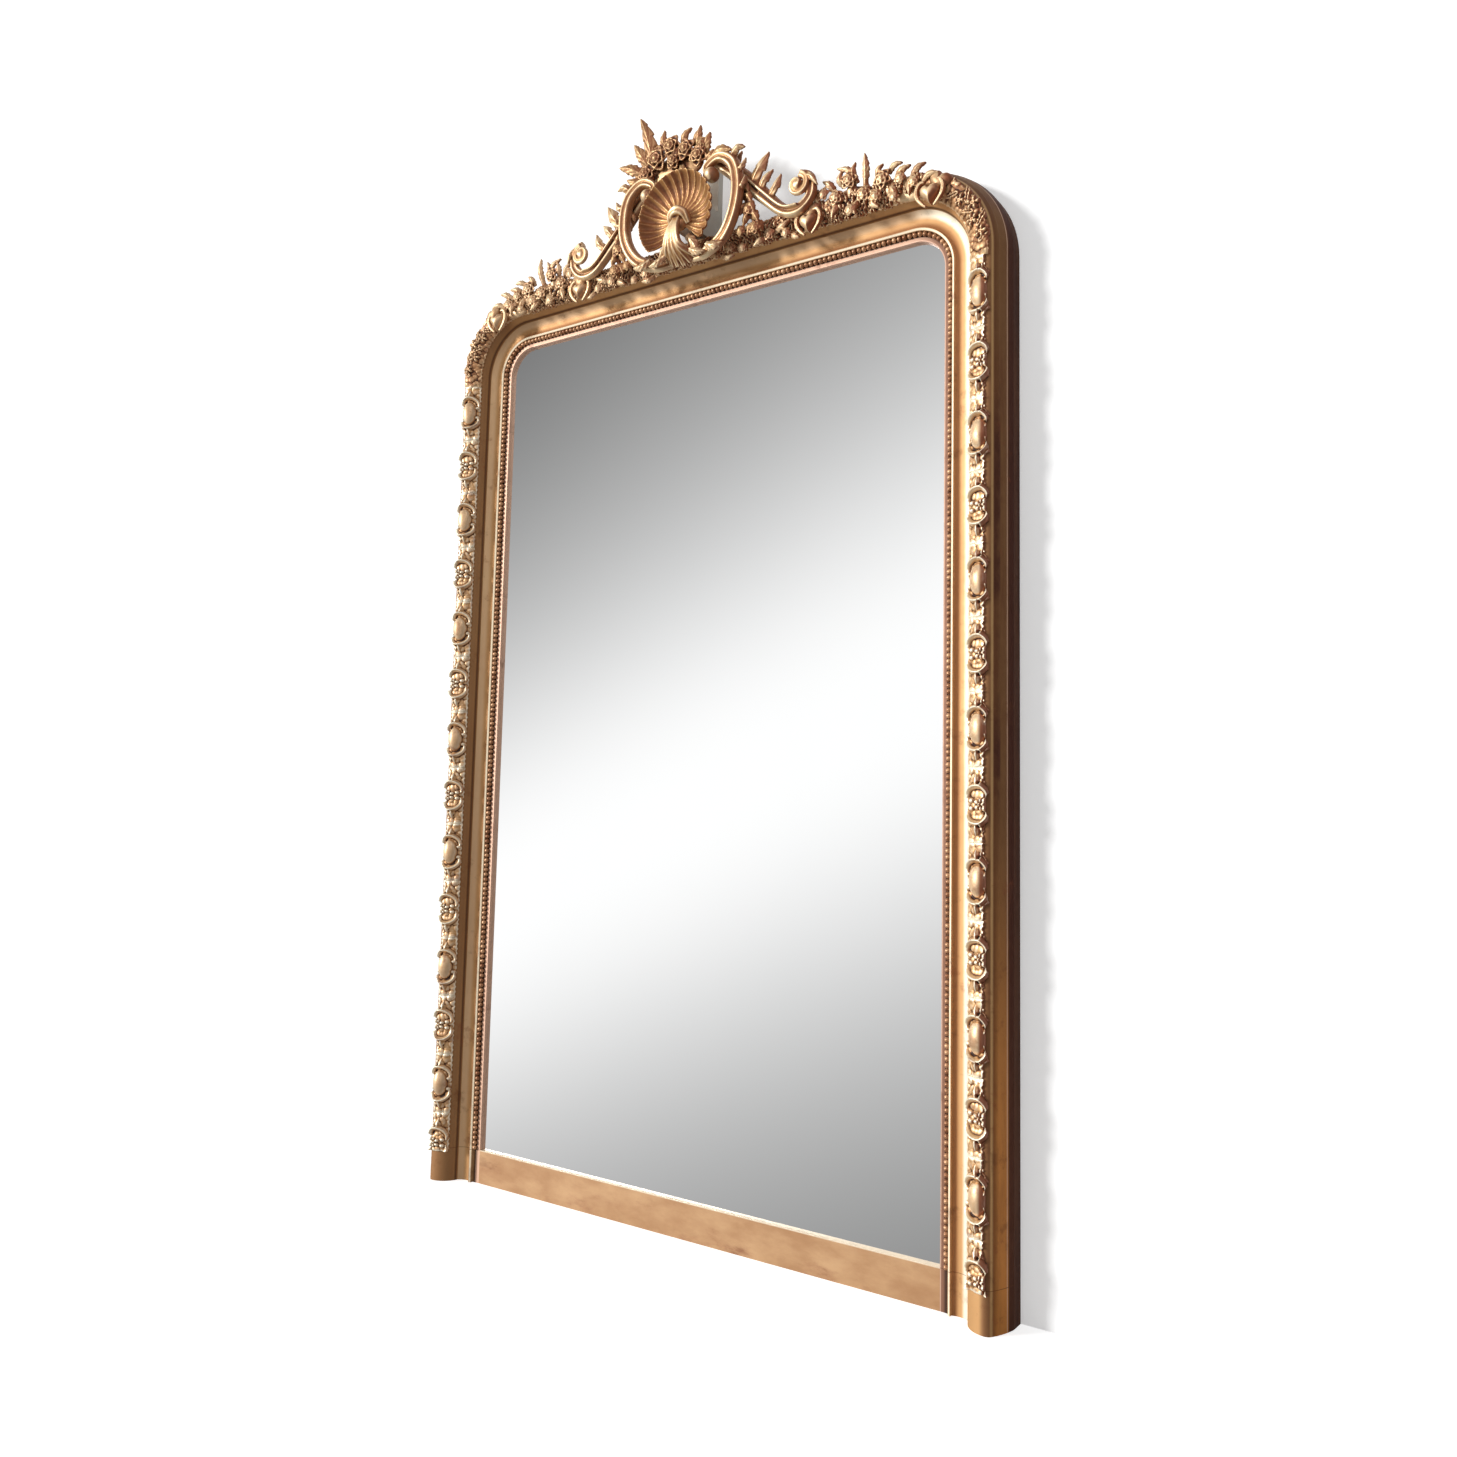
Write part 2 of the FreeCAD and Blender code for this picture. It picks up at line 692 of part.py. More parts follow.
def limb(points, widths, thicks, steps=14):
    """Tapering limb through points, with half-widths and half-thicknesses."""
    curve = Part.BSplineCurve()
    curve.interpolate([Vec(*p) for p in points])
    first, last = curve.FirstParameter, curve.LastParameter
    wires = []
    for i in range(steps + 1):
        share = i / steps
        spot = curve.value(first + share * (last - first))
        along = curve.tangent(first + share * (last - first))[0]
        wires.append(section_at(spot, along, at_share(widths, share),
                                at_share(thicks, share)))
    return Part.makeLoft(wires, True, False)


def at_share(values, share):
    """Value part of the way along a list, read in straight lines."""
    place = share * (len(values) - 1)
    index = min(int(place), len(values) - 2)
    rest = place - index
    return values[index] * (1 - rest) + values[index + 1] * rest


def joined(shapes):
    solid = shapes[0].multiFuse(shapes[1:])
    clean = solid.removeSplitter()
    if clean.isValid():
        solid = clean
    return max(solid.Solids, key=lambda s: s.Volume)


carved = []


def carve(label, parts):
    """Carved piece, scribed to whatever carved work it lies against."""
    solid = joined(parts)
    for other in carved:
        if solid.BoundBox.intersect(other.BoundBox):
            cut = solid.cut(other)
            solid = max(cut.Solids, key=lambda piece: piece.Volume)
    carved.append(solid)
    feature(label, solid)
    return solid


def carve_pair(stem, parts):
    """Right-hand piece and its mirror image, fitted to what is there."""
    before = len(carved)
    right = carve(stem + "_right", parts)
    del carved[before:]
    left = mirrored(right)
    feature(stem + "_left", left)
    carved.extend([right, left])


def mirrored(shape):
    return shape.mirror(Vec(), Vec(1, 0, 0))


def flower(x, y, z, radius, petals=6):
    """Rosette: a middle knob with a ring of round petals."""
    parts = [Part.makeSphere(radius * 0.45, Vec(x, y, z))]
    for i in range(petals):
        turn = 2 * math.pi * (i + 0.25) / petals
        spot = Vec(x + 0.6 * radius * math.cos(turn), y + 0.12 * radius,
                   z + 0.6 * radius * math.sin(turn))
        parts.append(Part.makeSphere(radius * 0.38, spot))
    return parts


def rose(x, y, z, radius, petals=5):
    """Full rose: a knob in five overlapping petals, poles turned to the front."""
    front = Vec(0.2, -1, 0.1)
    parts = [Part.makeSphere(radius * 0.5, Vec(x, y, z), front)]
    for i in range(petals):
        turn = 2 * math.pi * (i + 0.25) / petals
        spot = Vec(x + 0.58 * radius * math.cos(turn), y + 0.12 * radius,
                   z + 0.58 * radius * math.sin(turn))
        parts.append(Part.makeSphere(radius * 0.42, spot, front))
    return parts


def band_faces():
    """Section of the outer moulding and the same section grown by the skin."""
    sketch = doc.getObject("outer_moulding_right_outline")
    section = Part.Face(sketch.Shape.Wires[0])
    grown = section.makeOffset2D(size("skin_thickness"))
    return section, grown


def straight_band(face, length):
    solid = face.extrude(Vec(0, 0, length))
    solid.translate(Vec(size("sight_width") / 2, 0, -length / 2))
    return solid


def skin_box(length):
    half = size("sight_width") / 2
    box = Part.makeBox(size("skin_outer") - size("skin_inner"), 80, length)
    box.translate(Vec(half + size("skin_inner"), -75, -length / 2))
    return box


def boss_parts(x, y):
    """Smooth oval boss between two curled leaves, with three pearls."""
    long, wide = size("boss_length") / 2, size("boss_width") / 2
    curl, thick = size("curl_radius"), size("curl_thickness") / 2
    pearl = size("pearl_radius")
    parts = [ovoid(x, y, 0, wide, size("boss_rise"), long)]
    parts.append(ring_arc(x + 2, y - 2, long - 4, curl, thick, -20, 200))
    parts.append(ring_arc(x + 2, y - 2, 4 - long, curl, thick, 160, 200))
    parts += [ovoid(x + 17, y + 7, step * 9, pearl, pearl + 2, pearl)
              for step in (-1, 0, 1)]
    return parts


def cartouche_parts(x, y):
    """Two curled leaves facing each other across a small flower."""
    curl, thick = size("curl_radius"), size("curl_thickness") / 2
    parts = [ring_arc(x + 2, y - 1, 16, curl, thick, -30, 210),
             ring_arc(x + 2, y - 1, -16, curl, thick, 150, 210)]
    parts += flower(x + 3, y + 1, 0, 13)
    return parts


def floret_parts(x, y, z):
    """Small linking floret between two motifs."""
    return [ovoid(x, y + 1, z, 9, 6, 7), ovoid(x + 7, y + 3, z + 6, 4, 5, 4),
            ovoid(x + 7, y + 3, z - 6, 4, 5, 4)]


def running_units():
    """The two repeating units of the band, fitted to its round face."""
    pitch = size("motif_pitch")
    section, grown = band_faces()
    band = straight_band(section, pitch * 2)
    skin = straight_band(grown, pitch * 2).common(skin_box(pitch))
    x = size("sight_width") / 2 + size("boss_offset")
    y = -size("crown_rise") + 4
    units = []
    for parts in (cartouche_parts(x, y), boss_parts(x, y)):
        parts += floret_parts(x, y, pitch / 2 - 9)
        units.append(joined([skin] + parts).cut(band).Solids)
    return [max(solids, key=lambda s: s.Volume) for solids in units]


def running_ornament():
    """Alternating units up each stile; the first starts on the plinth."""
    cartouche, boss = running_units()
    run = []
    for i in range(int(size("motif_count"))):
        unit = (cartouche if i % 2 == 0 else boss).copy()
        unit.translate(Vec(0, 0, size("motif_first") + i * size("motif_pitch")))
        run.append(unit)
    floor = Part.makeBox(60, 90, 80, Vec(size("sight_width") / 2 + 50, -75, -80))
    run[0] = max(run[0].cut(floor).Solids, key=lambda s: s.Volume)
    feature("ornament_right", Part.makeCompound(run))
    feature("ornament_left", Part.makeCompound([mirrored(u) for u in run]))
    return cartouche, boss


def heart(x, y, z):
    """Smooth heart-shaped boss with its point down."""
    long, wide = size("heart_length") / 2, size("heart_width") / 2
    rise = size("heart_rise")
    return [ovoid(x - wide * 0.42, y, z + long * 0.4, wide * 0.6, rise, long * 0.6),
            ovoid(x + wide * 0.42, y, z + long * 0.4, wide * 0.6, rise, long * 0.6),
            ovoid(x, y, z - long * 0.25, wide * 0.5, rise * 0.9, long * 0.75)]


def corner_tools():
    """Skin of a rounded corner and the moulding under it, right-hand side."""
    section, grown = band_faces()
    radius = size("sight_corner_radius")
    box = Part.makeBox(size("skin_outer") - size("skin_inner"), 80, 1)
    pieces = []
    for face in (section, grown):
        moved = face.copy()
        moved.translate(Vec(radius, 0, 0))
        pieces.append(moved.revolve(Vec(), Vec(0, -1, 0), 90))
    inner = Part.makeCylinder(radius + size("skin_inner"), 120, Vec(0, -100, 0),
                              Vec(0, 1, 0))
    outer = Part.makeCylinder(radius + size("skin_outer"), 75, Vec(0, -75, 0),
                              Vec(0, 1, 0))
    skin = pieces[1].common(outer.cut(inner)).cut(pieces[0])
    return pieces[0], max(skin.Solids, key=lambda s: s.Volume)


def corner_ornament():
    """Heart, curls and leaves that cover each rounded corner."""
    band, skin = corner_tools()
    reach = size("sight_corner_radius") + size("boss_offset") + 3
    y = -size("crown_rise") + 4
    angle = math.radians(size("corner_heart_angle"))
    hx, hz = reach * math.cos(angle), reach * math.sin(angle)
    parts = [skin] + heart(hx, y, hz)
    parts.append(ring_arc(hx, y, hz + 8, 17, 3, 0, 180))
    for degrees, grow in ((12, 12), (28, 10), (40, 11), (82, 10)):
        turn = math.radians(degrees)
        parts += flower(reach * math.cos(turn), y + 2, reach * math.sin(turn), grow)
    corner = max(joined(parts).cut(band).Solids, key=lambda s: s.Volume)
    straight = size("sight_width") / 2 - size("sight_corner_radius")
    corner.translate(Vec(straight, 0,
                         size("sight_height") - size("sight_corner_radius")))
    feature("corner_ornament_right", corner)
    feature("corner_ornament_left", mirrored(corner))


def top_band():
    """Skin, hearts and flower sprays on each half of the top band."""
    section, grown = band_faces()
    long = size("sight_width") / 2 - size("sight_corner_radius")
    skin = straight_band(grown, 2 * long).common(skin_box(2 * long))
    band = straight_band(section, 2 * long)
    half = size("sight_width") / 2
    for solid in (skin, band):
        solid.translate(Vec(-half, 0, 0))
        solid.rotate(Vec(), Vec(0, 1, 0), -90)
        solid.translate(Vec(0, 0, size("sight_height")))
    near = Part.makeBox(long, 200, 400, Vec(0, -100, 1400))
    skin = skin.common(near)
    y = -size("crown_rise") + 3
    level = size("heart_level") + 14
    parts = [skin] + heart(size("heart_spread"), y - 2, size("heart_level"))
    for x, z, grow in ((300, -4, 13), (332, 8, 15), (365, -6, 14), (398, 4, 13)):
        parts += flower(x, y, level + z, grow)
    parts.append(limb([(300, y, level), (335, y - 6, level + 30),
                       (352, y - 8, level + 52)], [7, 8, 1.5], [5, 4, 1]))
    for x in (190, 150, 110, 70, 30):
        parts.append(ovoid(x, y + 1, level - 2, 17, 7, 12, 20))
    spray = max(joined(parts).cut(band).Solids, key=lambda s: s.Volume)
    feature("top_ornament_right", spray)
    feature("top_ornament_left", mirrored(spray))
    carved.extend([spray, mirrored(spray)])


# --------------------------------------------------------------------- crest
def clear_block():
    """Keep the carved pieces off the block and the spine behind them."""
    front, back = size("bracket_front"), size("body_depth")
    wide, foot = size("bracket_width"), size("sight_height") + size("outer_offset")
    depth = front + back - size("spine_thickness")
    carved.append(Part.makeBox(wide, depth, size("bracket_high") - foot,
                               Vec(-wide / 2, -front, foot)))


def flute(start, end, narrow, wide):
    """Round-ended tapering rib between two points."""
    along = Vec(*end) - Vec(*start)
    return [Part.makeCone(narrow, wide, along.Length, Vec(*start), along),
            Part.makeSphere(wide, Vec(*end))]


def shell():
    """Fan-shaped plate whose rim is scalloped by the ends of the flutes."""
    front, level = -size("shell_front"), size("shell_level") + 20
    radius, thick = size("shell_radius"), size("shell_thickness")
    flutes = int(size("shell_flutes"))
    parts = [Part.makeCylinder(radius * 0.66, 2.2 * thick,
                               Vec(0, front + 4 + 2.2 * thick, level + 18),
                               Vec(0, -1, 0)),
             Part.makeSphere(15, Vec(0, front + 6, level))]
    for i in range(flutes):
        turn = math.radians(-20.3 + 220 * i / (flutes - 1))
        reach = radius * (0.74 + 0.13 * math.sin(turn))
        spot = Vec(reach * math.cos(turn), front + 1, level + reach * math.sin(turn))
        parts.append(Part.makeSphere(11.5, spot))
    carve("shell", parts)


def drape():
    """Tied cloth that hangs from the shell over the band."""
    front, level = -size("shell_front"), size("shell_level")
    parts = [Part.makeSphere(14, Vec(0, front - 2, level + 14))]
    for i in range(-2, 3):
        foot = (i * 15.2, front + 4, level - 56 + 5 * abs(i))
        parts += flute((i * 1.7, front - 1, level + 10), foot, 5.5, 10.3)
    carve("drape", parts)


def c_scrolls():
    """Pair of C scrolls that frame the shell."""
    y = -size("shell_front") + 6
    path = [(66, y, 1736), (58, y, 1750), (84, y, 1762), (113, y, 1742),
            (123, y, 1700), (116, y, 1655), (92, y + 4, 1620), (52, y + 10, 1604),
            (20, y + 16, 1604)]
    widths = [8, 9, 11, 13, 13, 13, 12, 10, 6]
    thicks = [9, 10, 12, 12, 12, 12, 11, 9, 6]
    arm = limb(path, widths, thicks, 30)
    button = ovoid(70, y - 3, 1731, 14, 15, 14)
    carve_pair("c_scroll", [arm, button])


def s_scrolls():
    """Pair of long S scrolls that end in volutes on the top band."""
    y = -size("volute_front")
    spread, level = size("volute_spread"), size("volute_level")
    radius = size("volute_radius")
    path = [(40, y - 8, 1788), (80, y - 4, 1756), (119, y, 1724), (165, y, 1678),
            (205, y, 1641), (235, y, 1636), (259, y, 1655), (255, y, 1688),
            (236, y, 1697)]
    widths = [6, 12, 16, 17, 13, 11, 10, 8, 5]
    thicks = [6, 10, 13, 13, 12, 11, 10, 8, 5]
    arm = limb(path, widths, thicks, 30)
    volute = ovoid(spread, y - 4, level - 4, radius * 0.8, 16, radius)
    spikes = [limb([(150, y, 1700), (160, y - 4, 1730), (174, y - 6, 1748)],
                   [10, 9, 1.5], [6, 5, 1], 6),
              limb([(175, y, 1672), (188, y - 4, 1692), (202, y - 6, 1704)],
                   [9, 7, 1.5], [6, 5, 1], 6)]
    carve_pair("s_scroll", [arm, volute] + spikes)


def garlands():
    """Leafy drops between the shell and the volutes."""
    y = -size("volute_front") - 6
    drop = [(120, 1700), (126, 1680), (136, 1660), (146, 1640), (154, 1620),
            (160, 1602)]
    parts = [ovoid(x, y + 3 * i, z, 17 - i, 9, 14, 30 if i % 2 else -30)
             for i, (x, z) in enumerate(drop)]
    carve_pair("garland", parts)


def bouquet():
    """Roses and leaves behind the shell; the tall leaf leans left."""
    y = -size("shell_front") + 8
    parts = [Part.makeCylinder(wide, 14, Vec(x, y + 12, 1777), Vec(0, -1, 0))
             for x, wide in ((-60, 24), (-22, 28), (18, 22))]
    for x, z, grow in ((-38, 1797, 24), (-2, 1802, 22), (34, 1790, 22),
                       (-72, 1780, 20)):
        parts += rose(x, y - 4, z, grow)
    carve("bouquet", parts)
    tall = limb([(-62, y + 2, 1775), (-66, y - 4, 1818), (-74, y - 10, 1855),
                 (-90, y - 6, 1886)], [14, 20, 15, 2], [8, 8, 6, 1.5])
    carve("tall_leaf", [tall])
    carve("right_leaves", [limb([(36, y + 4, 1768), (56, y, 1800), (68, y - 4, 1814)],
                                [12, 14, 4], [7, 6, 2], 6),
                           limb([(40, y + 4, 1768), (88, y, 1774),
                                 (112, y - 4, 1766)],
                                [10, 11, 2], [7, 6, 2], 6)])
    carve("side_leaves", [limb([(-80, y + 2, 1765), (-92, y - 4, 1805), (-104, y - 8, 1840)],
                               [12, 12, 2], [7, 6, 1.5], 8),
                          limb([(-78, y + 2, 1760), (-112, y - 4, 1784), (-138, y - 6, 1806)],
                        [12, 12, 2], [7, 6, 1.5], 8)])


def spine():
    """Upright let into the back of the top rail, with a block on its front."""
    half = "spine_width / 2"
    front = "( body_depth - spine_thickness )"
    body = block("crest_spine", "- " + half, half, front, "body_depth",
                 "spine_low", "spine_high")
    spots = [(half, "crest_screw_step * " + share) for share in ("0.5", "1.5")]
    drill(body, spots, "screw_shank / 2 + screw_slack", "spine_thickness",
          name="bores")
    drill(body, spots, "screw_head / 2 + screw_slack", "screw_head_rise + 1",
          "spine_thickness - screw_head_rise", "sinks")
    half = "bracket_width / 2"
    block("crest_block", "- " + half, half, "- bracket_front", front,
          "sight_height + outer_offset", "bracket_high")


def main():
    fill_sheet()
    moulding_set("inner_moulding", inner_section)
    moulding_set("outer_moulding", outer_section)
    moulding_set("bead_string", bead_section)
    plinths()
    stiles()
    top_rail()
    bottom_parts()
    glazing()
    battens()
    housings()
    spine()
    doc.recompute()
    wedges()
    wall_fixings()
    running_ornament()
    corner_ornament()
    top_band()
    clear_block()
    shell()
    drape()
    c_scrolls()
    s_scrolls()
    garlands()
    bouquet()
    doc.recompute()
    write_parts()


def pieces():
    wanted = ("PartDesign::Body", "Part::Feature", "Part::Cut", "Part::Fuse")
    for item in doc.Objects:
        inside = item.getParentGeoFeatureGroup() is not None
        if item.TypeId in wanted and not inside and not item.InList:
            yield item


def write_parts():
    for item in doc.Objects:
        if "Invalid" in item.State or "Error" in item.State:
            raise RuntimeError("%s: %s" % (item.Name, item.State))
    os.makedirs("parts", exist_ok=True)
    for piece in pieces():
        shape = piece.Shape
        if shape.isNull() or not shape.isValid() or not shape.Solids:
            raise RuntimeError(piece.Label + " has no sound shape")
        print(piece.Label, len(shape.Solids), round(shape.Volume / 1000, 1),
              [round(v) for v in (shape.BoundBox.XMin, shape.BoundBox.XMax,
                                  shape.BoundBox.YMin, shape.BoundBox.YMax,
                                  shape.BoundBox.ZMin, shape.BoundBox.ZMax)])
        shape.exportStep("parts/%s.step" % piece.Label)


main()
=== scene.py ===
"""Looks of a gilt overmantel mirror with a shell and scroll crest.

All shapes are worked out in millimetres in the sight frame (x = 0 on the
middle line, y = 0 on the front of the lip, z = 0 on top of the bottom board)
and moved into the part's frame when their mesh is made.
"""
import math

import bpy
import numpy as np
from mathutils import Matrix, Vector


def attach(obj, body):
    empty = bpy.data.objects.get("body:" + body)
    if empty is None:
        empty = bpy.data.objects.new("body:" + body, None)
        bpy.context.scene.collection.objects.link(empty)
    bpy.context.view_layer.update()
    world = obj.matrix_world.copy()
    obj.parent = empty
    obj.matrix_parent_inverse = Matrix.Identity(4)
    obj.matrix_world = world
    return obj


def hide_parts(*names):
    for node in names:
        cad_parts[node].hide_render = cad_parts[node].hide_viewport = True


bl_info = {
    "name": "Overmantel mirror",
    "version": (1, 0, 0),
    "blender": (4, 5, 0),
    "location": "View3D > Sidebar > Mirror",
    "description": "Carved ornament, gilding and stage of an overmantel mirror",
    "category": "Object",
}

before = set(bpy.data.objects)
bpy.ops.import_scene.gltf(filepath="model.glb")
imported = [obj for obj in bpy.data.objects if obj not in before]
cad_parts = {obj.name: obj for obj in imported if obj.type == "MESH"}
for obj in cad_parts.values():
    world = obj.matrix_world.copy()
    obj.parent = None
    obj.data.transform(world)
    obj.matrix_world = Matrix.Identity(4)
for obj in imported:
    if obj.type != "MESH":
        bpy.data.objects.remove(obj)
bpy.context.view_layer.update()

# Sizes in millimetres; offsets are outwards from the sight edge
HALF_WIDTH = 470.0       # half of the sight opening
SIGHT_HEIGHT = 1553.0
CORNER = 52.0            # radius of the sight corners
BASE = 60.0              # height of the bottom board
MIDDLE = 15.5            # depth from the lip to the frame's zero
COVE_END = 47.5          # offset where the outer moulding starts
ORNAMENT_LINE = 76.5     # offset of the ornament's middle line
STRAIGHT_UP = SIGHT_HEIGHT - CORNER
STRAIGHT_ACROSS = HALF_WIDTH - CORNER

# Pressed relief, square to the moulding's face
SUNK = -1.6              # ground that lies hidden under the face
RELIEF_BACK = -2.4       # back of the closed relief
BAND_END = 19.001        # outer end of the relief from its middle line
NARROWED = 1.5           # a motif is squeezed outwards by this
WIDENED = 0.82           # and stretched inwards by this


class MirrorSettings(bpy.types.PropertyGroup):
    """Sizes of the fine work that the pieces share."""
    bead_pitch: bpy.props.FloatProperty(
        name="Bead pitch", description="Distance from bead to bead",
        default=0.0091, unit="LENGTH", subtype="DISTANCE")
    bead_radius: bpy.props.FloatProperty(
        name="Bead radius", description="Radius of one bead",
        default=0.0042, unit="LENGTH", subtype="DISTANCE")
    motif_pitch: bpy.props.FloatProperty(
        name="Motif pitch", description="Distance from motif to motif on a stile",
        default=0.109, unit="LENGTH", subtype="DISTANCE")
    motif_first: bpy.props.FloatProperty(
        name="First motif", description="Height of the lowest motif above the board",
        default=0.011, unit="LENGTH", subtype="DISTANCE")
    motif_count: bpy.props.IntProperty(
        name="Motifs", description="Number of motifs on a stile", default=14)
    relief_step: bpy.props.FloatProperty(
        name="Relief step", description="Grid step of the pressed ornament",
        default=0.0009, unit="LENGTH", subtype="DISTANCE")
    carving_step: bpy.props.FloatProperty(
        name="Carving step", description="Voxel size of the carved crest",
        default=0.0013, unit="LENGTH", subtype="DISTANCE")


# ------------------------------------------------------------ colour helpers
def paint(red, green, blue):
    """Linear colour of an sRGB one given in 0..255."""
    def linear(level):
        level /= 255.0
        return level / 12.92 if level <= 0.04045 else ((level + 0.055) / 1.055) ** 2.4
    return (linear(red), linear(green), linear(blue), 1.0)


def fill_sockets(tree, node, inputs):
    """Give a node's sockets their values, or link them."""
    for place, item in dict(inputs).items():
        item = getattr(item, "socket", item)
        if isinstance(item, bpy.types.NodeSocket):
            tree.links.new(item, node.inputs[place])
        else:
            node.inputs[place].default_value = item


def add_node(tree, kind, inputs=(), **settings):
    """New node with its settings and the values or links of its sockets."""
    node = tree.nodes.new(kind)
    for name, setting in settings.items():
        setattr(node, name, setting)
    fill_sockets(tree, node, inputs)
    return node


class Value:
    """A number in a node tree that works in plain expressions."""

    def __init__(self, tree, socket):
        self.tree = tree
        self.socket = socket

    def _node(self, operation, *others, clamp=False):
        node = add_node(self.tree, "ShaderNodeMath", enumerate((self, *others)),
                        operation=operation, use_clamp=clamp)
        return Value(self.tree, node.outputs[0])

    def __add__(self, other):
        return self._node("ADD", other)

    def __sub__(self, other):
        return self._node("SUBTRACT", other)

    def __mul__(self, other):
        return self._node("MULTIPLY", other)

    def __pow__(self, other):
        return self._node("POWER", other)

    def __rsub__(self, other):
        return self * -1.0 + other

    __radd__ = __add__

    def absolute(self):
        return self._node("ABSOLUTE")

    def most(self, other):
        return self._node("MAXIMUM", other)

    def root(self):
        return self._node("SQRT")

    def bounded(self):
        return self._node("ADD", 0.0, clamp=True)

    def ramp(self, low, high):
        """0 below low, 1 above high, smooth between; low may be the larger."""
        node = add_node(self.tree, "ShaderNodeMapRange",
                        {"From Min": low, "From Max": high, "Value": self},
                        interpolation_type="SMOOTHSTEP")
        return Value(self.tree, node.outputs["Result"])

    def band(self, centre, reach):
        """1 at centre, falling smoothly to 0 at centre +- reach."""
        return (self - centre).absolute().ramp(reach, 0.0)


class Finish:
    """A material and the few node calls that its recipes need."""

    def __init__(self, name):
        self.material = bpy.data.materials.new(name)
        self.material.use_nodes = True
        self.tree = self.material.node_tree
        self.surface = self.tree.nodes["Principled BSDF"]
        self.place = self.new("ShaderNodeTexCoord").outputs["Object"]
        self.x, self.y, self.z = self.split(self.place)

    def new(self, kind, inputs=(), **settings):
        return add_node(self.tree, kind, inputs, **settings)

    def split(self, socket):
        """The three numbers of a vector."""
        node = self.new("ShaderNodeSeparateXYZ", {0: socket})
        return [Value(self.tree, number) for number in node.outputs]

    def noise(self, scale, detail=4.0, rough=0.55, stretch=None):
        place = self.place
        if stretch:
            place = self.new("ShaderNodeMapping",
                             {"Scale": stretch, "Vector": place}).outputs[0]
        node = self.new("ShaderNodeTexNoise", {"Scale": scale, "Detail": detail,
                                               "Roughness": rough, "Vector": place})
        return Value(self.tree, node.outputs["Fac"])

    def attribute(self, name):
        node = self.new("ShaderNodeAttribute", attribute_name=name)
        return Value(self.tree, node.outputs["Fac"])

    def rightward(self):
        """How far the surface faces to the right."""
        return self.split(self.new("ShaderNodeNewGeometry").outputs["Normal"])[0]

    def mix(self, under, over, share):
        """Colour under with over laid on by share."""
        node = self.new("ShaderNodeMix", {6: under, 7: over, 0: share},
                        data_type="RGBA")
        return node.outputs[2]

    def finish(self, colour, rough, metal=0.0, bump=None, depth=0.0005):
        inputs = {"Base Color": colour, "Roughness": rough, "Metallic": metal}
        if bump is not None:
            inputs["Normal"] = self.new("ShaderNodeBump", {
                "Strength": 0.6, "Distance": depth, "Height": bump}).outputs[0]
        fill_sockets(self.tree, self.surface, inputs)
        return self.material

    def from_sight_edge(self):
        """Distance outwards from the sight edge, in metres, round the corners."""
        across = (self.x.absolute() - STRAIGHT_ACROSS / 1000.0).most(0.0)
        up = (self.z - (BASE + STRAIGHT_UP) / 1000.0).most(0.0)
        return (across * across + up * up).root() - CORNER / 1000.0


CREAM = paint(255, 246, 222)
GOLD = paint(220, 176, 120)
OLD_GOLD = paint(178, 126, 76)
UMBER = paint(104, 58, 28)
DARK = paint(50, 25, 12)
BOLE = paint(138, 74, 44)
ROSE = paint(226, 188, 164)
RUSSET = paint(160, 100, 56)
OLIVE = paint(124, 84, 46)
AMBER = paint(206, 136, 66)
RUDDY = paint(72, 27, 8)


def gilt_carving(name, high, middle, low, recess=1.0, cream=1.0):
    """Worn gilding with painted light: a pale painted highlight on what stands out, umber
    patina and painted shade in what lies deep, painted shade on faces turned to the
    right.
    """
    mat = Finish(name)
    wear = mat.attribute("wear")
    broad = mat.noise(8.0, 3.0)
    fine = mat.noise(170.0, 5.0)
    # low tone in the hollows and middle tone on what stands out: partly patina, partly
    # painted shade
    tone = mat.mix(low, middle, (wear + broad * 0.9 - 0.35).bounded())
    # painted highlight: cream laid on what stands out
    raised = wear.ramp(0.46, 0.76) * 0.9 + (fine - 0.5) * 0.3
    tone = mat.mix(tone, high, (raised * cream).bounded())
    # painted shade: faces turned to the right, more so on the right of the frame, take a
    # dark red-brown
    shade_on_right_faces = mat.rightward().ramp(0.0, 0.45) * mat.noise(28.0, 4.0).ramp(0.1, 0.45)
    tone = mat.mix(tone, BOLE, shade_on_right_faces * mat.x.ramp(-0.9, 0.3) * 0.95)
    # umber patina and painted shade in the hollows, darkest in the deepest ones
    tone = mat.mix(tone, UMBER, ((0.50 - wear) * 3.4 * recess
                                 + (fine - 0.5) * 0.7).bounded())
    tone = mat.mix(tone, DARK, ((0.36 - wear) * 5.0 * recess).bounded())
    worn = mat.noise(36.0, 6.0).ramp(0.56, 0.66) * wear.ramp(0.35, 0.6)
    tone = mat.mix(tone, BOLE, worn * 0.45)
    rough = 0.33 + fine * 0.24
    return mat.finish(tone, rough, 0.45, fine + mat.noise(420.0, 2.0) * 0.5, 0.0004)


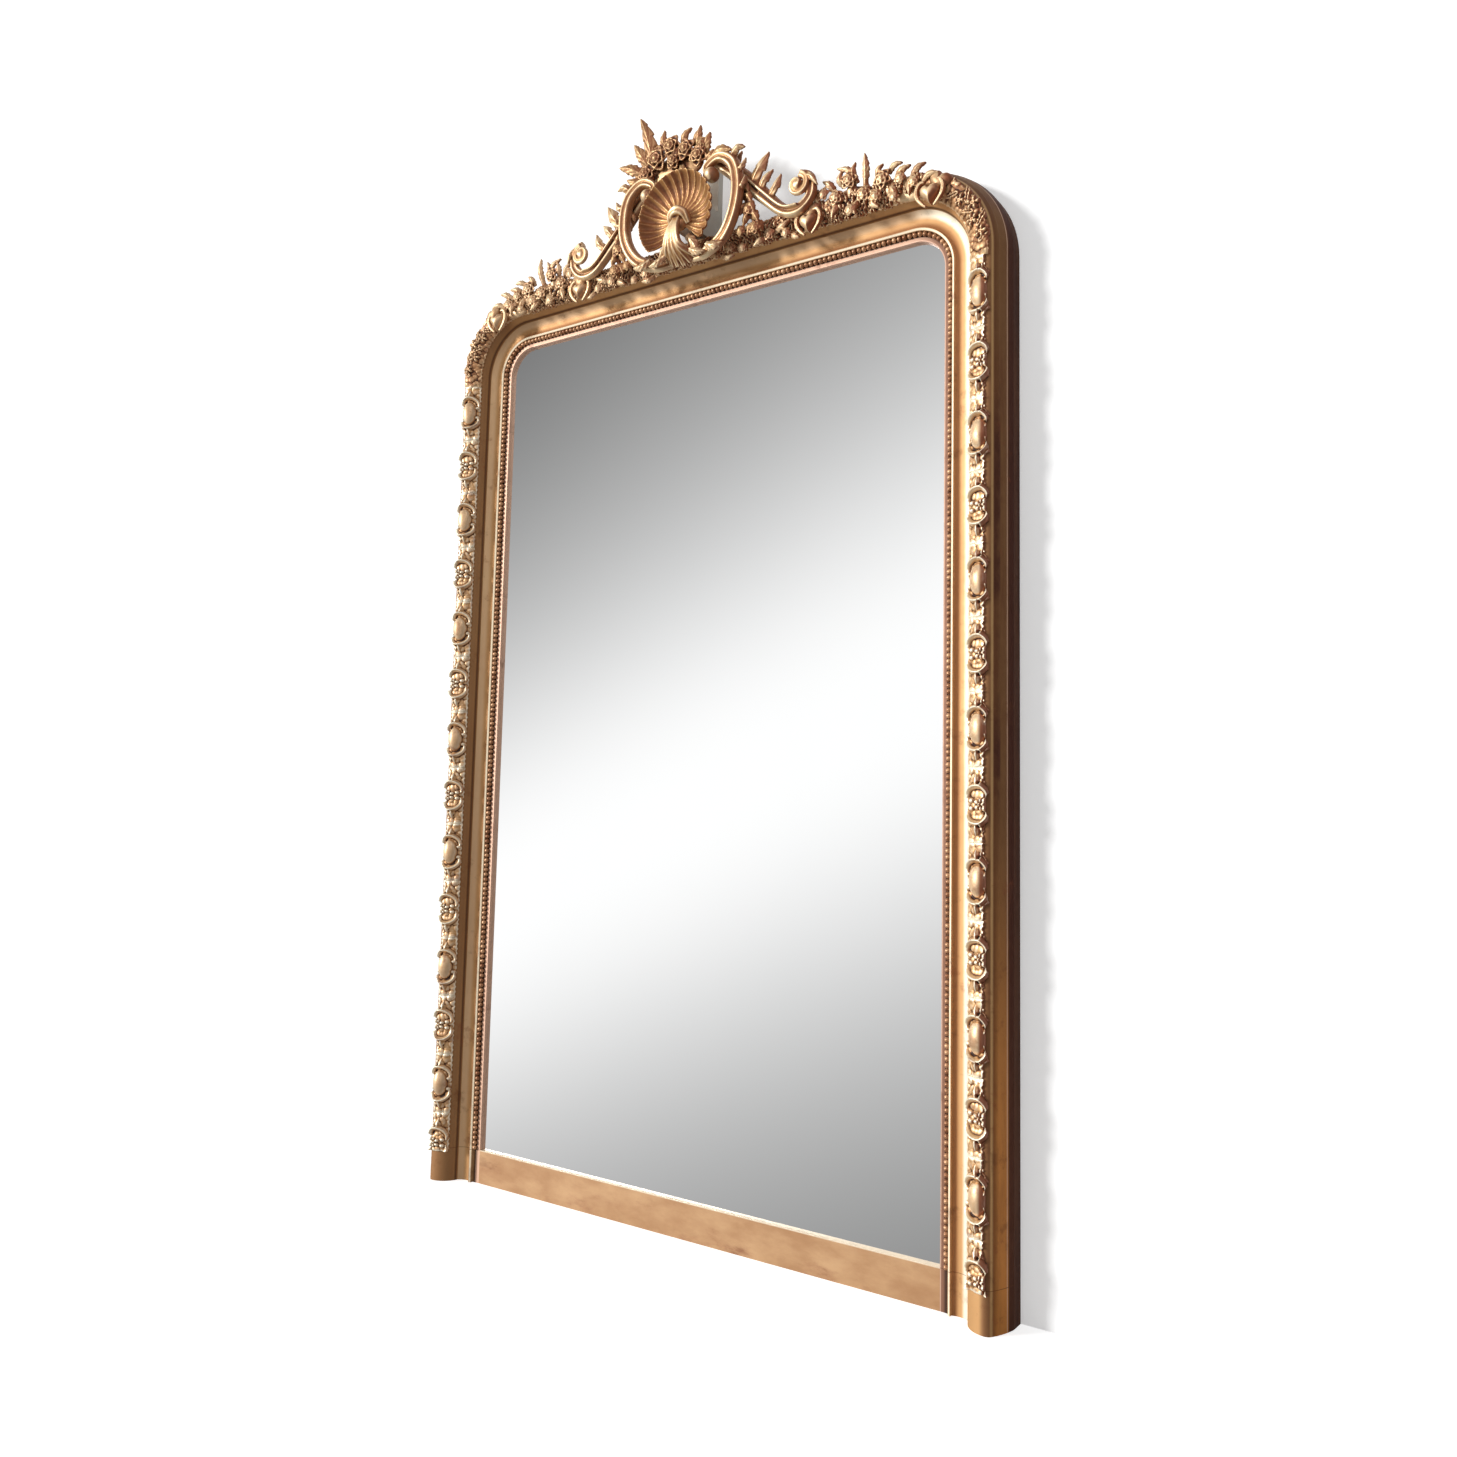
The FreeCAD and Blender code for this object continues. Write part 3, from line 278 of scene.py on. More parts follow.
def gilt_moulding():
    """Gilding of the run mouldings: every member has its own tone, with painted
    highlights and painted shade laid over the members.
    """
    mat = Finish("gilt_moulding")
    out = mat.from_sight_edge()
    grain = mat.noise(60.0, 6.0, 0.6)
    long = mat.noise(7.0, 4.0, 0.6, (1.0, 1.0, 0.3))
    streak = mat.noise(30.0, 6.0, 0.65, (1.0, 1.0, 0.12))
    tone = mat.mix(OLD_GOLD, GOLD, (long * 1.4 - 0.2).bounded())
    # lit marks the right stile, where the painted highlights and painted shade of the
    # mouldings are set
    lit = mat.x.ramp(0.40, 0.468)
    # painted shade: the lip is pale on the left and top and dark on the right stile
    lip = mat.mix(paint(208, 168, 142), paint(112, 66, 42), lit * 0.8)
    tone = mat.mix(tone, lip, out.ramp(0.012, 0.009))
    # painted highlight along the lip's edge at the glass
    tone = mat.mix(tone, ROSE, out.band(0.0008, 0.0018) * 0.7)
    # painted shade in the groove that holds the beads
    tone = mat.mix(tone, DARK, out.band(0.0105, 0.0065) * 0.95)
    # painted highlight on the ridge
    tone = mat.mix(tone, CREAM, out.band(0.017, 0.0026) * 0.85)
    # painted shade in the inner part of the cove
    inner = out.ramp(0.031, 0.024) * out.ramp(0.0188, 0.0196)
    tone = mat.mix(tone, RUSSET, inner * 0.75)
    # painted highlight on the outer part of the cove, strongest on the right stile
    bright = out.ramp(0.033, 0.041) * out.ramp(0.0476, 0.0470)
    tone = mat.mix(tone, CREAM, bright * (lit * 0.8 + 0.18))
    # painted shade in the crease where the cove meets the outer moulding
    tone = mat.mix(tone, DARK, out.band(0.0485, 0.0016) * 0.8)
    low = mat.z.ramp(0.75, 0.12)
    deep = mat.y * -1.0 - MIDDLE / 1000.0
    side = out.ramp(0.090, 0.094)
    # painted bounce light: the side turns lighter amber towards the bottom
    flank = mat.mix(OLIVE, AMBER, low)
    flank = mat.mix(flank, UMBER, (streak.ramp(0.45, 0.75) * (0.9 - low * 0.5)))
    # painted shade on the outer slope of the right stile
    tone = mat.mix(tone, UMBER, out.ramp(0.074, 0.084) * 0.75 * lit)
    # painted shade on the inner flank of the crown on the left stile
    inside = out.ramp(0.047, 0.051) * mat.x.ramp(-0.43, -0.47)
    tone = mat.mix(tone, UMBER, inside * 0.55)
    tone = mat.mix(tone, flank, side)
    tone = mat.mix(tone, UMBER, side * deep.ramp(0.024, 0.034) * 0.7)
    stain = mat.noise(9.0, 5.0, 0.6, (1.0, 1.0, 0.5)).ramp(0.45, 0.62)
    tone = mat.mix(tone, RUDDY, side * deep.ramp(0.020, 0.024) * stain
                   * (0.85 - low * 0.6))
    tone = mat.mix(tone, RUDDY, side * deep.ramp(0.009, 0.004) * 0.95)
    tone = mat.mix(tone, ROSE, side * deep.band(0.0088, 0.0013) * 0.9)
    tone = mat.mix(tone, GOLD, out.band(0.0925, 0.0022) * 0.7)
    joint = (mat.z - BASE / 1000.0).band(0.0, 0.0008)
    tone = mat.mix(tone, UMBER, joint * 0.8)
    rub = mat.noise(24.0, 8.0, 0.7).ramp(0.56, 0.70)
    tone = mat.mix(tone, UMBER, rub * 0.4)
    tone = mat.mix(tone, BOLE, mat.noise(15.0, 8.0, 0.7).ramp(0.60, 0.68) * 0.35)
    rough = 0.50 + grain * 0.2
    return mat.finish(tone, rough, 0.45 + side * 0.15, grain, 0.0004)


def simple_finish(name, base, other, rough, metal, scale, stretch=None, depth=0.0003):
    """Two-tone finish with a fine grain in its roughness and bump."""
    mat = Finish(name)
    blotch = mat.noise(scale, 6.0, 0.6, stretch)
    fine = mat.noise(scale * 14.0, 4.0, 0.6, stretch)
    tone = mat.mix(base, other, blotch.ramp(0.35, 0.68))
    return mat.finish(tone, rough + fine * 0.2, metal, fine, depth)


def silvered_plate():
    """Old mirror plate: bright, with the faintest bloom."""
    mat = Finish("mirror_plate")
    bloom = mat.noise(3.0, 3.0)
    tone = mat.mix(paint(250, 250, 250), paint(247, 248, 248), bloom)
    return mat.finish(tone, 0.0, 1.0)


# ------------------------------------------------------------- mesh helpers
def placed(points):
    """Sight-frame millimetres to the part's frame in metres."""
    return (np.asarray(points, float) + (0.0, -MIDDLE, BASE)) / 1000.0


def make_mesh(name, points, faces, smooth=True):
    mesh = bpy.data.meshes.new(name)
    mesh.from_pydata([tuple(p) for p in points], [], [tuple(f) for f in faces])
    mesh.update()
    if smooth:
        mesh.shade_smooth()
    return mesh


def make_object(name, data):
    item = bpy.data.objects.new(name, data)
    bpy.context.scene.collection.objects.link(item)
    return item


def settled(item):
    """Plain mesh of an object after its modifiers, which are then removed."""
    graph = bpy.context.evaluated_depsgraph_get()
    mesh = bpy.data.meshes.new_from_object(item.evaluated_get(graph))
    old = item.data
    item.modifiers.clear()
    item.data = mesh
    bpy.data.meshes.remove(old)
    return item


def add_relief_height(mesh, rounds=14, reach=0.0016):
    """Store how far each point stands out of its smoothed surroundings."""
    count = len(mesh.vertices)
    spots = np.empty(count * 3)
    mesh.vertices.foreach_get("co", spots)
    spots = spots.reshape(-1, 3)
    normals = np.empty(count * 3)
    mesh.vertices.foreach_get("normal", normals)
    normals = normals.reshape(-1, 3)
    edges = np.empty(len(mesh.edges) * 2, int)
    mesh.edges.foreach_get("vertices", edges)
    first, second = edges.reshape(-1, 2).T
    links = np.bincount(first, minlength=count) + np.bincount(second, minlength=count)
    links = np.maximum(links, 1)[:, None]
    soft = spots.copy()
    for _ in range(rounds):
        total = np.zeros_like(soft)
        for axis in range(3):
            total[:, axis] = (np.bincount(first, soft[second, axis], count)
                              + np.bincount(second, soft[first, axis], count))
        soft = 0.35 * soft + 0.65 * total / links
    stand = ((spots - soft) * normals).sum(1) / reach
    # this height drives the painted highlights and painted shade of the gilding as well
    # as its rubbed wear
    layer = mesh.attributes.new("wear", "FLOAT", "POINT")
    layer.data.foreach_set("value", np.clip(0.5 + 0.5 * stand, 0, 1))


def give_material(item, material):
    item.data.materials.clear()
    item.data.materials.append(material)


def finish_piece(item, material, slot, *nodes):
    """Give a piece its material and hide the nodes that it stands for; the slot is not
    used.
    """
    give_material(item, material)
    item.data.shade_smooth()
    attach(item, "root")
    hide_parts(*nodes)
    return item


def spread_values(values, share):
    """Values read along a list at shares from 0 to 1."""
    return np.interp(share, np.linspace(0, 1, len(values)), values)


def smooth_path(spots, count):
    """Even points on a smooth curve through the given ones."""
    spots = np.asarray(spots, float)
    ends = np.vstack([2 * spots[0] - spots[1], spots, 2 * spots[-1] - spots[-2]])
    fine = []
    for i in range(len(spots) - 1):
        a, b, c, d = ends[i:i + 4]
        u = np.linspace(0, 1, 24, endpoint=False)[:, None]
        fine.append(0.5 * (2 * b + (c - a) * u + (2 * a - 5 * b + 4 * c - d) * u ** 2
                           + (3 * b - a - 3 * c + d) * u ** 3))
    fine = np.vstack(fine + [spots[-1:]])
    length = np.r_[0, np.cumsum(np.linalg.norm(np.diff(fine, axis=0), axis=1))]
    even = np.linspace(0, length[-1], count)
    return np.stack([np.interp(even, length, column) for column in fine.T], 1)


# ---------------------------------------------------- section of the moulding
def section_arc(start, end, radius, side, count):
    """Points of an arc between two points of the section."""
    start, end = np.asarray(start, float), np.asarray(end, float)
    chord = end - start
    half = np.linalg.norm(chord) / 2
    across = np.array([-chord[1], chord[0]]) / (2 * half) * side
    centre = (start + end) / 2 - across * math.sqrt(radius ** 2 - half ** 2)
    first = math.atan2(*(start - centre)[::-1])
    last = math.atan2(*(end - centre)[::-1])
    turn = (last - first + math.pi) % (2 * math.pi) - math.pi
    angles = first + turn * np.linspace(0, 1, count)
    return centre + radius * np.stack([np.cos(angles), np.sin(angles)], 1)


def outer_profile():
    """Face of the outer moulding: arc length, offset, depth and normal."""
    line = np.vstack([section_arc((COVE_END, -9), (84, -39.8), 37.3, -1, 40),
                      section_arc((84, -39.8), (91.5, -36.6), 13, -1, 12)[1:],
                      [(94, -32.8), (98.5, -25.5), (101, -21.0), (109, 6)]])
    step = np.diff(line, axis=0)
    length = np.r_[0, np.cumsum(np.linalg.norm(step, axis=1))]
    slope = np.gradient(line, length, axis=0)
    slope /= np.linalg.norm(slope, axis=1)[:, None]
    normal = np.stack([slope[:, 1], -slope[:, 0]], 1)
    if normal[20, 1] > 0:
        normal = -normal
    return length, line, normal


LENGTH, LINE, NORMAL = outer_profile()
CENTRE_LINE = float(np.interp(ORNAMENT_LINE, LINE[:, 0], LENGTH))
CENTRE_RADIUS = CORNER + ORNAMENT_LINE


def on_band(along, across, high):
    """Points over the outer moulding of the right half of the frame.

    along runs up the stile, round the corner and in to the middle; across is
    measured on the face from the ornament's middle line; high is square to it.
    """
    place = across + CENTRE_LINE
    offset = np.interp(place, LENGTH, LINE[:, 0])
    depth = np.interp(place, LENGTH, LINE[:, 1])
    lean = np.interp(place, LENGTH, NORMAL[:, 0])
    front = np.interp(place, LENGTH, NORMAL[:, 1])
    out = offset + high * lean
    y = depth + high * front
    turn = np.clip((along - STRAIGHT_UP) / CENTRE_RADIUS, 0, math.pi / 2)
    rise = np.minimum(along, STRAIGHT_UP)
    past = np.maximum(along - STRAIGHT_UP - CENTRE_RADIUS * math.pi / 2, 0)
    x = STRAIGHT_ACROSS + (CORNER + out) * np.cos(turn) - past
    z = rise + (CORNER + out) * np.sin(turn)
    return np.stack([x, y, z], -1)


# ------------------------------------------------------------ pressed relief
def dome(s, t, s0, t0, a, b, high, turn=0.0, power=0.5):
    """Rounded boss of half-lengths a and b."""
    c, d = math.cos(turn), math.sin(turn)
    x = ((s - s0) * c + (t - t0) * d) / a
    y = ((t - t0) * c - (s - s0) * d) / b
    return high * np.clip(1 - x * x - y * y, 0, None) ** power


def pit(s, t, s0, t0, radius, depth):
    """Drilled hole with a soft edge."""
    far = np.hypot(s - s0, t - t0) / radius
    return -depth * np.clip(1.25 - far, 0, 1) ** 0.5


def ring(s0, t0, radius, start, end, count=14):
    """Points on an arc; 0 degrees points across, 90 along."""
    turn = np.radians(np.linspace(start, end, count))
    return np.stack([s0 + radius * np.sin(turn), t0 + radius * np.cos(turn)], 1)


def stroke(s, t, spots, widths, highs, ribs=0.0, vein=0.0, lobes=0.0, lean=0.5):
    """Tapering leaf or scroll along a path, with ribs, a vein and lobes."""
    path = smooth_path(spots, 60)
    result = np.zeros_like(s)
    reach = max(widths) * 1.1
    near = ((s > path[:, 0].min() - reach) & (s < path[:, 0].max() + reach)
            & (t > path[:, 1].min() - reach) & (t < path[:, 1].max() + reach))
    if not near.any():
        return result
    here, there = s[near], t[near]
    gaps = (here[:, None] - path[:, 0]) ** 2 + (there[:, None] - path[:, 1]) ** 2
    index = gaps.argmin(1)
    share = index / (len(path) - 1)
    far = np.sqrt(gaps[np.arange(len(index)), index])
    width = spread_values(widths, share)
    high = spread_values(highs, share)
    if lobes:
        width = width * (0.72 + 0.28 * np.abs(np.sin(math.pi * lobes * share)))
    q = far / np.maximum(width, 0.2)
    body = high * np.sqrt(np.clip(1 - q * q, 0, None))
    if ribs:
        wave = np.cos(2 * math.pi * (ribs * share - lean * q))
        body *= 0.90 + 0.10 * wave
    if vein:
        body *= 1 - vein * np.exp(-(q / 0.22) ** 2)
    result[near] = body
    return result


def over(*layers):
    """The highest of several reliefs."""
    result = layers[0]
    for layer in layers[1:]:
        result = np.maximum(result, layer)
    return result


def pebbles(s, t, seed, count, low, high, size=(1.6, 3.4)):
    """Scattered small leaves that fill the ground."""
    chance = np.random.default_rng(seed)
    result = np.zeros_like(s)
    for _ in range(count):
        s0 = chance.uniform(s.min(), s.max())
        t0 = chance.uniform(t.min(), t.max())
        a, b = sorted(chance.uniform(*size, 2))
        turn = chance.uniform(0, math.pi)
        near = (abs(s - s0) < 7) & (abs(t - t0) < 7)
        result[near] = np.maximum(result[near], dome(
            s[near], t[near], s0, t0, b, a, chance.uniform(low, high), turn))
    return result


def boss_motif(s, t):
    """Smooth oval boss cupped by two curled leaves, pearls beside it."""
    true = np.where(t > 0, t / NARROWED, t)
    parts = [dome(s, true, 0, -2, 24, 12.5, 11.5, power=0.5)]
    for way in (-1, 1):
        up = way * s
        parts.append(stroke(up, t, ring(15, -1, 16.5, -20, 195), [2.5, 4.0, 5.5, 4.0, 2],
                            [6, 8, 9.5, 8, 6], vein=-0.25))
        parts.append(dome(up, t, 9.5, 15.5, 4.2, 4.2, 8.5))
        parts.append(dome(up, t, 9.5, -15.5, 4.2, 4.2, 7))
        parts.append(stroke(up, t, [(31, -2), (38, -3), (46, -4)], [7, 6, 2], [7, 6, 3],
                            vein=-0.3))
        parts.append(dome(up, t, 39, 5, 4, 3, 5))
    for s0 in (-9.5, 0, 9.5):
        parts.append(dome(s, t, s0, 15.5, 3.7, 3.7, 6.5))
    body = over(*parts)
    for s0, t0, radius in ((34, 2, 2.4), (-34, 2, 2.4), (42, -9, 2.0), (-42, -9, 2.0)):
        body = body + pit(s, t, s0, t0, radius, 7)
    return body


def cartouche_motif(s, t):
    """Two facing curls round a small pierced flower."""
    parts = []
    for way in (-1, 1):
        up = way * s
        parts.append(stroke(up, t, ring(11, 0, 16.5, -30, 200), [2.5, 4.5, 6, 4.5, 2],
                            [6, 8.5, 9.5, 8.5, 6], vein=-0.25))
        parts.append(dome(up, t, 5.5, 12, 4.6, 4.6, 9))
        parts.append(dome(up, t, 5.5, -10.5, 4.4, 4.4, 7.5))
        parts.append(stroke(up, t, [(31, -2), (37, -3), (45, -4)], [8, 6, 2],
                            [7, 6, 3], vein=-0.3))
        parts.append(dome(up, t, 35, 6, 4, 3, 5))
    for k in range(5):
        turn = 2 * math.pi * (k + 0.2) / 5
        parts.append(dome(s, t, 6.2 * math.cos(turn), 3 + 6.2 * math.sin(turn),
                          4.6, 3.8, 7.5, turn))
    parts.append(dome(s, t, 0, 3, 3.4, 3.4, 9.5))
    body = over(*parts)
    for s0, t0, radius in ((12.5, 5, 2.8), (-12.5, 5, 2.8), (15, -6, 2.2),
                           (-15, -6, 2.2), (0, -9, 2.2), (39, -8, 2.2), (-39, -8, 2.2),
                           (31, 1, 2.2), (-31, 1, 2.2)):
        body = body + pit(s, t, s0, t0, radius, 7)
    return body


def edged(s, t, body, outer, seed):
    """Lay the motifs on a leafy ground that ends in an uneven outline."""
    broad = pebbles(s, t, seed + 9, int(s.size / 90), 1.2, 2.6, (4.0, 7.5))
    ground = np.where(t < -24.5 + 0.8 * np.sin(s * 0.7), SUNK, 2.0 + broad)
    wobble = 0.8 * np.sin(s * 0.9 + seed) + 0.6 * np.sin(s * 0.37 + 2 * seed)
    result = np.where(t < outer + wobble, np.maximum(ground, body), body)
    result = np.where(t < outer + 3, result, SUNK)
    return np.where(result > 0.6, result, SUNK)


def swelling(s, near, base=6.5, more=6.5, wide=6.5):
    """Outer edge of a motif: it swells where its two curls turn out."""
    return base + more * np.exp(-((np.abs(s) - near) / wide) ** 2)


def drawn_in(t):
    """Distances across the band: a motif is wide inwards and narrow outwards."""
    return np.where(t > 0, NARROWED * t, WIDENED * t)


def slab(front, back):
    """Closed solid between two grids of points."""
    rows, columns = front.shape[:2]
    number = np.arange(rows * columns).reshape(rows, columns)
    a, b = number[:-1, :-1].ravel(), number[1:, :-1].ravel()
    c, d = number[1:, 1:].ravel(), number[:-1, 1:].ravel()
    shift = rows * columns
    rim = np.r_[number[:-1, 0], number[-1, :-1], number[:0:-1, -1], number[0, :0:-1]]
    after = np.roll(rim, -1)
    faces = np.vstack([np.stack([a, d, c, b], 1), np.stack([a, b, c, d], 1) + shift,
                       np.stack([rim, after, after + shift, rim + shift], 1)])
    points = np.vstack([front.reshape(-1, 3), back.reshape(-1, 3)])
    return points, [tuple(face) for face in faces]


def relief_mesh(name, start, end, draw, step, mirror=False, origin=0.0):
    """Closed pressed relief over the band between two stations."""
    count = max(int((end - start) / step), 8)
    across = np.arange(1.0 - CENTRE_LINE, BAND_END, step)
    s, t = np.meshgrid(np.linspace(start, end, count), across, indexing="ij")
    high = draw(s, t)
    front = on_band(s, t, high)
    back = on_band(s, t, np.full_like(high, RELIEF_BACK))
    points, faces = slab(front, back)
    faces = np.array(faces)
    points[:, 2] -= origin
    if mirror:
        points[:, 0] *= -1
        faces = faces[:, ::-1]
    spots = placed(points)
    if origin:
        spots[:, 2] -= BASE / 1000.0
    return make_mesh(name, spots, faces)


def reduced(mesh, ratio):
    """Same relief with fewer faces and the height of its relief stored, for painted
    highlights, painted shade and wear.
    """
    item = make_object(mesh.name, mesh)
    change = item.modifiers.new("fewer", "DECIMATE")
    change.ratio = ratio
    settled(item)
    add_relief_height(item.data, 10, 0.0014)
    return item


# ---------------------------------------------------------------- corner, top
def heart_relief(s, t, s0, t0, radius, high):
    """Smooth heart whose point looks to -t and whose lobes look to +t."""
    turn = np.linspace(0, 2 * math.pi, 181)
    across = np.sin(turn) ** 3
    up = (13 * np.cos(turn) - 5 * np.cos(2 * turn) - 2 * np.cos(3 * turn)
          - np.cos(4 * turn)) / 16 + 0.1
    angle, far = np.arctan2(up, across), np.hypot(across, up)
    order = np.argsort(angle)
    limit = np.interp(np.arctan2(t - t0, s - s0), angle[order], far[order])
    q = np.hypot(s - s0, t - t0) / (radius * limit)
    return over(high * np.clip(1 - q * q, 0, None) ** 0.5,
                3.0 * np.exp(-((q - 1.12) / 0.08) ** 2))


def blossom(s, t, s0, t0, radius, high, petals=5, turn=0.3):
    """Open flower with cupped petals round a drilled eye."""
    body = dome(s, t, s0, t0, radius * 0.34, radius * 0.34, high * 1.15)
    for k in range(petals):
        way = turn + 2 * math.pi * k / petals
        far = radius * 0.58
        body = over(body, dome(s, t, s0 + far * math.cos(way),
                               t0 + far * math.sin(way),
                               radius * 0.46, radius * 0.34, high, way))
    return body + pit(s, t, s0, t0, radius * 0.16, high * 0.4)


def corner_draw(s, t):
    """Leaves, flowers and the heart that wrap the rounded corner."""
    first = STRAIGHT_UP
    heart_at = first + CENTRE_RADIUS * math.radians(62)
    parts = [heart_relief(s, t, heart_at, 2, 19, 12)]
    parts.append(stroke(s, t, ring(heart_at, 8, 21, -80, 80), [3, 5, 6, 5, 3],
                        [5, 7, 8, 7, 5], ribs=9, lean=0.8))
    parts.append(stroke(s, t, ring(heart_at, 0, 20, 115, 165), [2, 4, 3],
                        [5, 6, 4], ribs=4))
    parts.append(stroke(s, t, ring(heart_at, 0, 20, 195, 245), [2, 4, 3],
                        [5, 6, 4], ribs=4))
    for place, off, size in ((18, 3, 10), (44, -5, 11), (66, 6, 11), (88, -5, 10),
                             (176, 2, 12), (194, -6, 9)):
        parts.append(blossom(s, t, first + place, off, size, 8.5, turn=place))
    for place, bend, side in ((4, 12, 1), (30, 14, 1), (56, -14, -1), (76, 13, 1),
                              (100, -10, -1), (165, 12, 1), (185, -12, -1)):
        start = first + place
        parts.append(stroke(s, t, [(start, 0), (start + 10, side * 9),
                                   (start + 22, bend + side * 5)],
                            [5, 6.5, 1.5], [7, 7, 3], ribs=5, vein=0.4, lobes=3))
    return edged(s, t, over(*parts), 12, 5)


TOP_START = STRAIGHT_UP + CENTRE_RADIUS * math.pi / 2


def low_leaves(s, t, at, first, last):
    """Row of small leaves along the inner edge of the band."""
    parts = []
    for k, x in enumerate(range(first, last, 23)):
        start = at(x)
        side = 1 if k % 2 else -1
        parts.append(stroke(s, t, [(start, -8), (start + side * 8, -18),
                                   (start + side * 17, -26)],
                            [6, 9, 3], [7, 7, 3], ribs=3, vein=0.4, lobes=3))
        parts.append(blossom(s, t, start + 12, -17, 8, 7.5, turn=x * 0.9))
    return parts


def top_draw(s, t):
    """Flower spray, heart and leafy garland of half the top band."""
    def at(x):
        return TOP_START + STRAIGHT_ACROSS - x
    parts = [heart_relief(s, t, at(250), 0, 20, 12)]
    parts.append(stroke(s, t, ring(at(250), 6, 22, -80, 80), [3, 5, 6, 5, 3],
                        [5, 7, 8, 7, 5], ribs=9, lean=0.8))
    for x, off, size, high in ((300, 2, 13, 9), (326, -8, 11, 8), (330, 9, 10, 8),
                               (356, 1, 14, 10), (382, -8, 10, 8), (388, 8, 11, 8),
                               (408, -2, 9, 8), (284, -12, 8, 7)):
        parts.append(blossom(s, t, at(x), off, size, high, turn=x * 0.7))
    for x, side in ((410, 1), (398, -1), (372, 1), (366, -1), (342, 1), (340, -1),
                    (316, 1), (310, -1), (290, 1)):
        start = at(x)
        parts.append(stroke(s, t, [(start, side * 3), (start + 6, side * 13),
                                   (start + 14, side * 20)],
                            [5, 6, 1.5], [7, 7, 3], ribs=5, vein=0.4, lobes=3))
    for k, x in enumerate(range(215, -10, -17)):
        side = 1 if k % 2 else -1
        start = at(x)
        parts.append(stroke(s, t, [(start, -side * 3), (start - 10, side * 7),
                                   (start - 19, side * 15)],
                            [5.5, 8, 2], [8, 8, 3], ribs=5, vein=0.4, lobes=4))
        parts.append(stroke(s, t, [(start, 0), (start - 11, -side * 5),
                                   (start - 20, -side * 12)],
                            [5, 7, 2], [7, 7, 3], ribs=4, vein=0.4, lobes=3))
        parts.append(dome(s, t, start, 0, 5, 5, 9.5))
    parts += low_leaves(s, t, at, 4, 416)
    return edged(s, t, over(*parts), 13, 9)


# ------------------------------------------------------------- carved crest
def tube(rows, columns):
    """Faces of a closed tube whose points run row by row; ends are fans."""
    faces = []
    for i in range(rows - 1):
        for j in range(columns):
            k = (j + 1) % columns
            faces.append((i * columns + j, i * columns + k,
                          (i + 1) * columns + k, (i + 1) * columns + j))
    faces.append(tuple(range(columns - 1, -1, -1)))
    faces.append(tuple((rows - 1) * columns + j for j in range(columns)))
    return faces


def path_frame(spots, rows):
    """Even points of a path, with their sideways and forward directions."""
    path = smooth_path(spots, rows)
    along = np.gradient(path, axis=0)
    along /= np.linalg.norm(along, axis=1)[:, None]
    flat = np.cross(along, (0.0, 1.0, 0.0))
    flat /= np.linalg.norm(flat, axis=1)[:, None]
    front = np.cross(flat, along)
    front *= np.sign(-front[:, 1:2])
    return path, flat, front


def sweep(spots, widths, depths, groove=0.0, rows=64, columns=28):
    """Closed carved limb: a path with width, depth and a middle groove."""
    path, flat, front = path_frame(spots, rows)
    share = np.linspace(0, 1, rows)
    width = spread_values(widths, share)
    depth = spread_values(depths, share)
    turn = np.linspace(0, 2 * math.pi, columns, endpoint=False)
    wide, deep = np.cos(turn), np.sin(turn)
    shape = np.where(deep > 0, deep * (1 - groove * np.exp(-(wide / 0.4) ** 2)),
                     0.6 * deep)
    face = depth[:, None] * shape
    points = (path[:, None] + flat[:, None] * (width[:, None] * wide)[..., None]
              + front[:, None] * face[..., None])
    return points.reshape(-1, 3), tube(rows, columns)


def ball(x, y, z, rx, ry, rz, rows=12, columns=20):
    """Closed egg."""
    rise = np.linspace(0.02, math.pi - 0.02, rows)
    turn = np.linspace(0, 2 * math.pi, columns, endpoint=False)
    a, b = np.meshgrid(rise, turn, indexing="ij")
    points = np.stack([x + rx * np.sin(a) * np.cos(b), y + ry * np.sin(a) * np.sin(b),
                       z + rz * np.cos(a)], -1)
    return points.reshape(-1, 3), tube(rows, columns)


def spiral(x, y, z, radius, start, turns, thick, side=1):
    """Volute: a rod that winds in and comes forward."""
    share = np.linspace(0, 1, 30)
    turn = start + side * 2 * math.pi * turns * share
    far = radius * (1 - 0.82 * share)
    spots = np.stack([x + far * np.cos(turn), y - 7 * share, z + far * np.sin(turn)], 1)
    return sweep(spots, [thick, thick * 0.8, thick * 0.55],
                 [thick, thick * 0.9, thick * 0.8], groove=0.3, rows=48, columns=16)


def petal(x, y, z, way, near, far, wide, lift, thick=2.6, curl=0.5):
    """Cupped petal that leaves the flower's middle in the given direction."""
    u, v = np.meshgrid(np.linspace(0, 1, 14), np.linspace(-1, 1, 13), indexing="ij")
    reach = near + (far - near) * u * (1 - 0.12 * v ** 2)
    half = wide * np.sin(math.pi * (0.12 + 0.80 * u)) ** 0.6
    side = half * v
    rise = lift * u ** 1.3 + 0.32 * half * v ** 2 - curl * lift * np.clip(
        u - 0.72, 0, 1) * 5 * (0.4 + 0.6 * v ** 2)
    rise = rise - 0.8 * np.exp(-(v / 0.18) ** 2)
    dx, dz = math.cos(way), math.sin(way)
    front = np.stack([x + dx * reach - dz * side, y - rise,
                      z + dz * reach + dx * side], -1)
    back = front + (0.0, thick, 0.0)
    return slab(front, back)


def rose(x, y, z, radius, high, turn=0.0, petals=5):
    """Full rose: three rings of cupped petals round a bud."""
    parts = [ball(x, y - high * 0.45, z, radius * 0.26, high * 0.42, radius * 0.26)]
    for ring_number, (near, far, wide, lift) in enumerate((
            (0.15, 1.0, 0.42, 0.42), (0.10, 0.70, 0.34, 0.80),
            (0.06, 0.42, 0.24, 1.05))):
        for k in range(petals):
            way = turn + 0.63 * ring_number + 2 * math.pi * k / petals
            parts.append(petal(x, y, z, way, near * radius, far * radius,
                               wide * radius, lift * high, 0.14 * radius))
    parts.append(ball(x, y + 1, z, radius * 0.55, 4, radius * 0.55))
    return parts


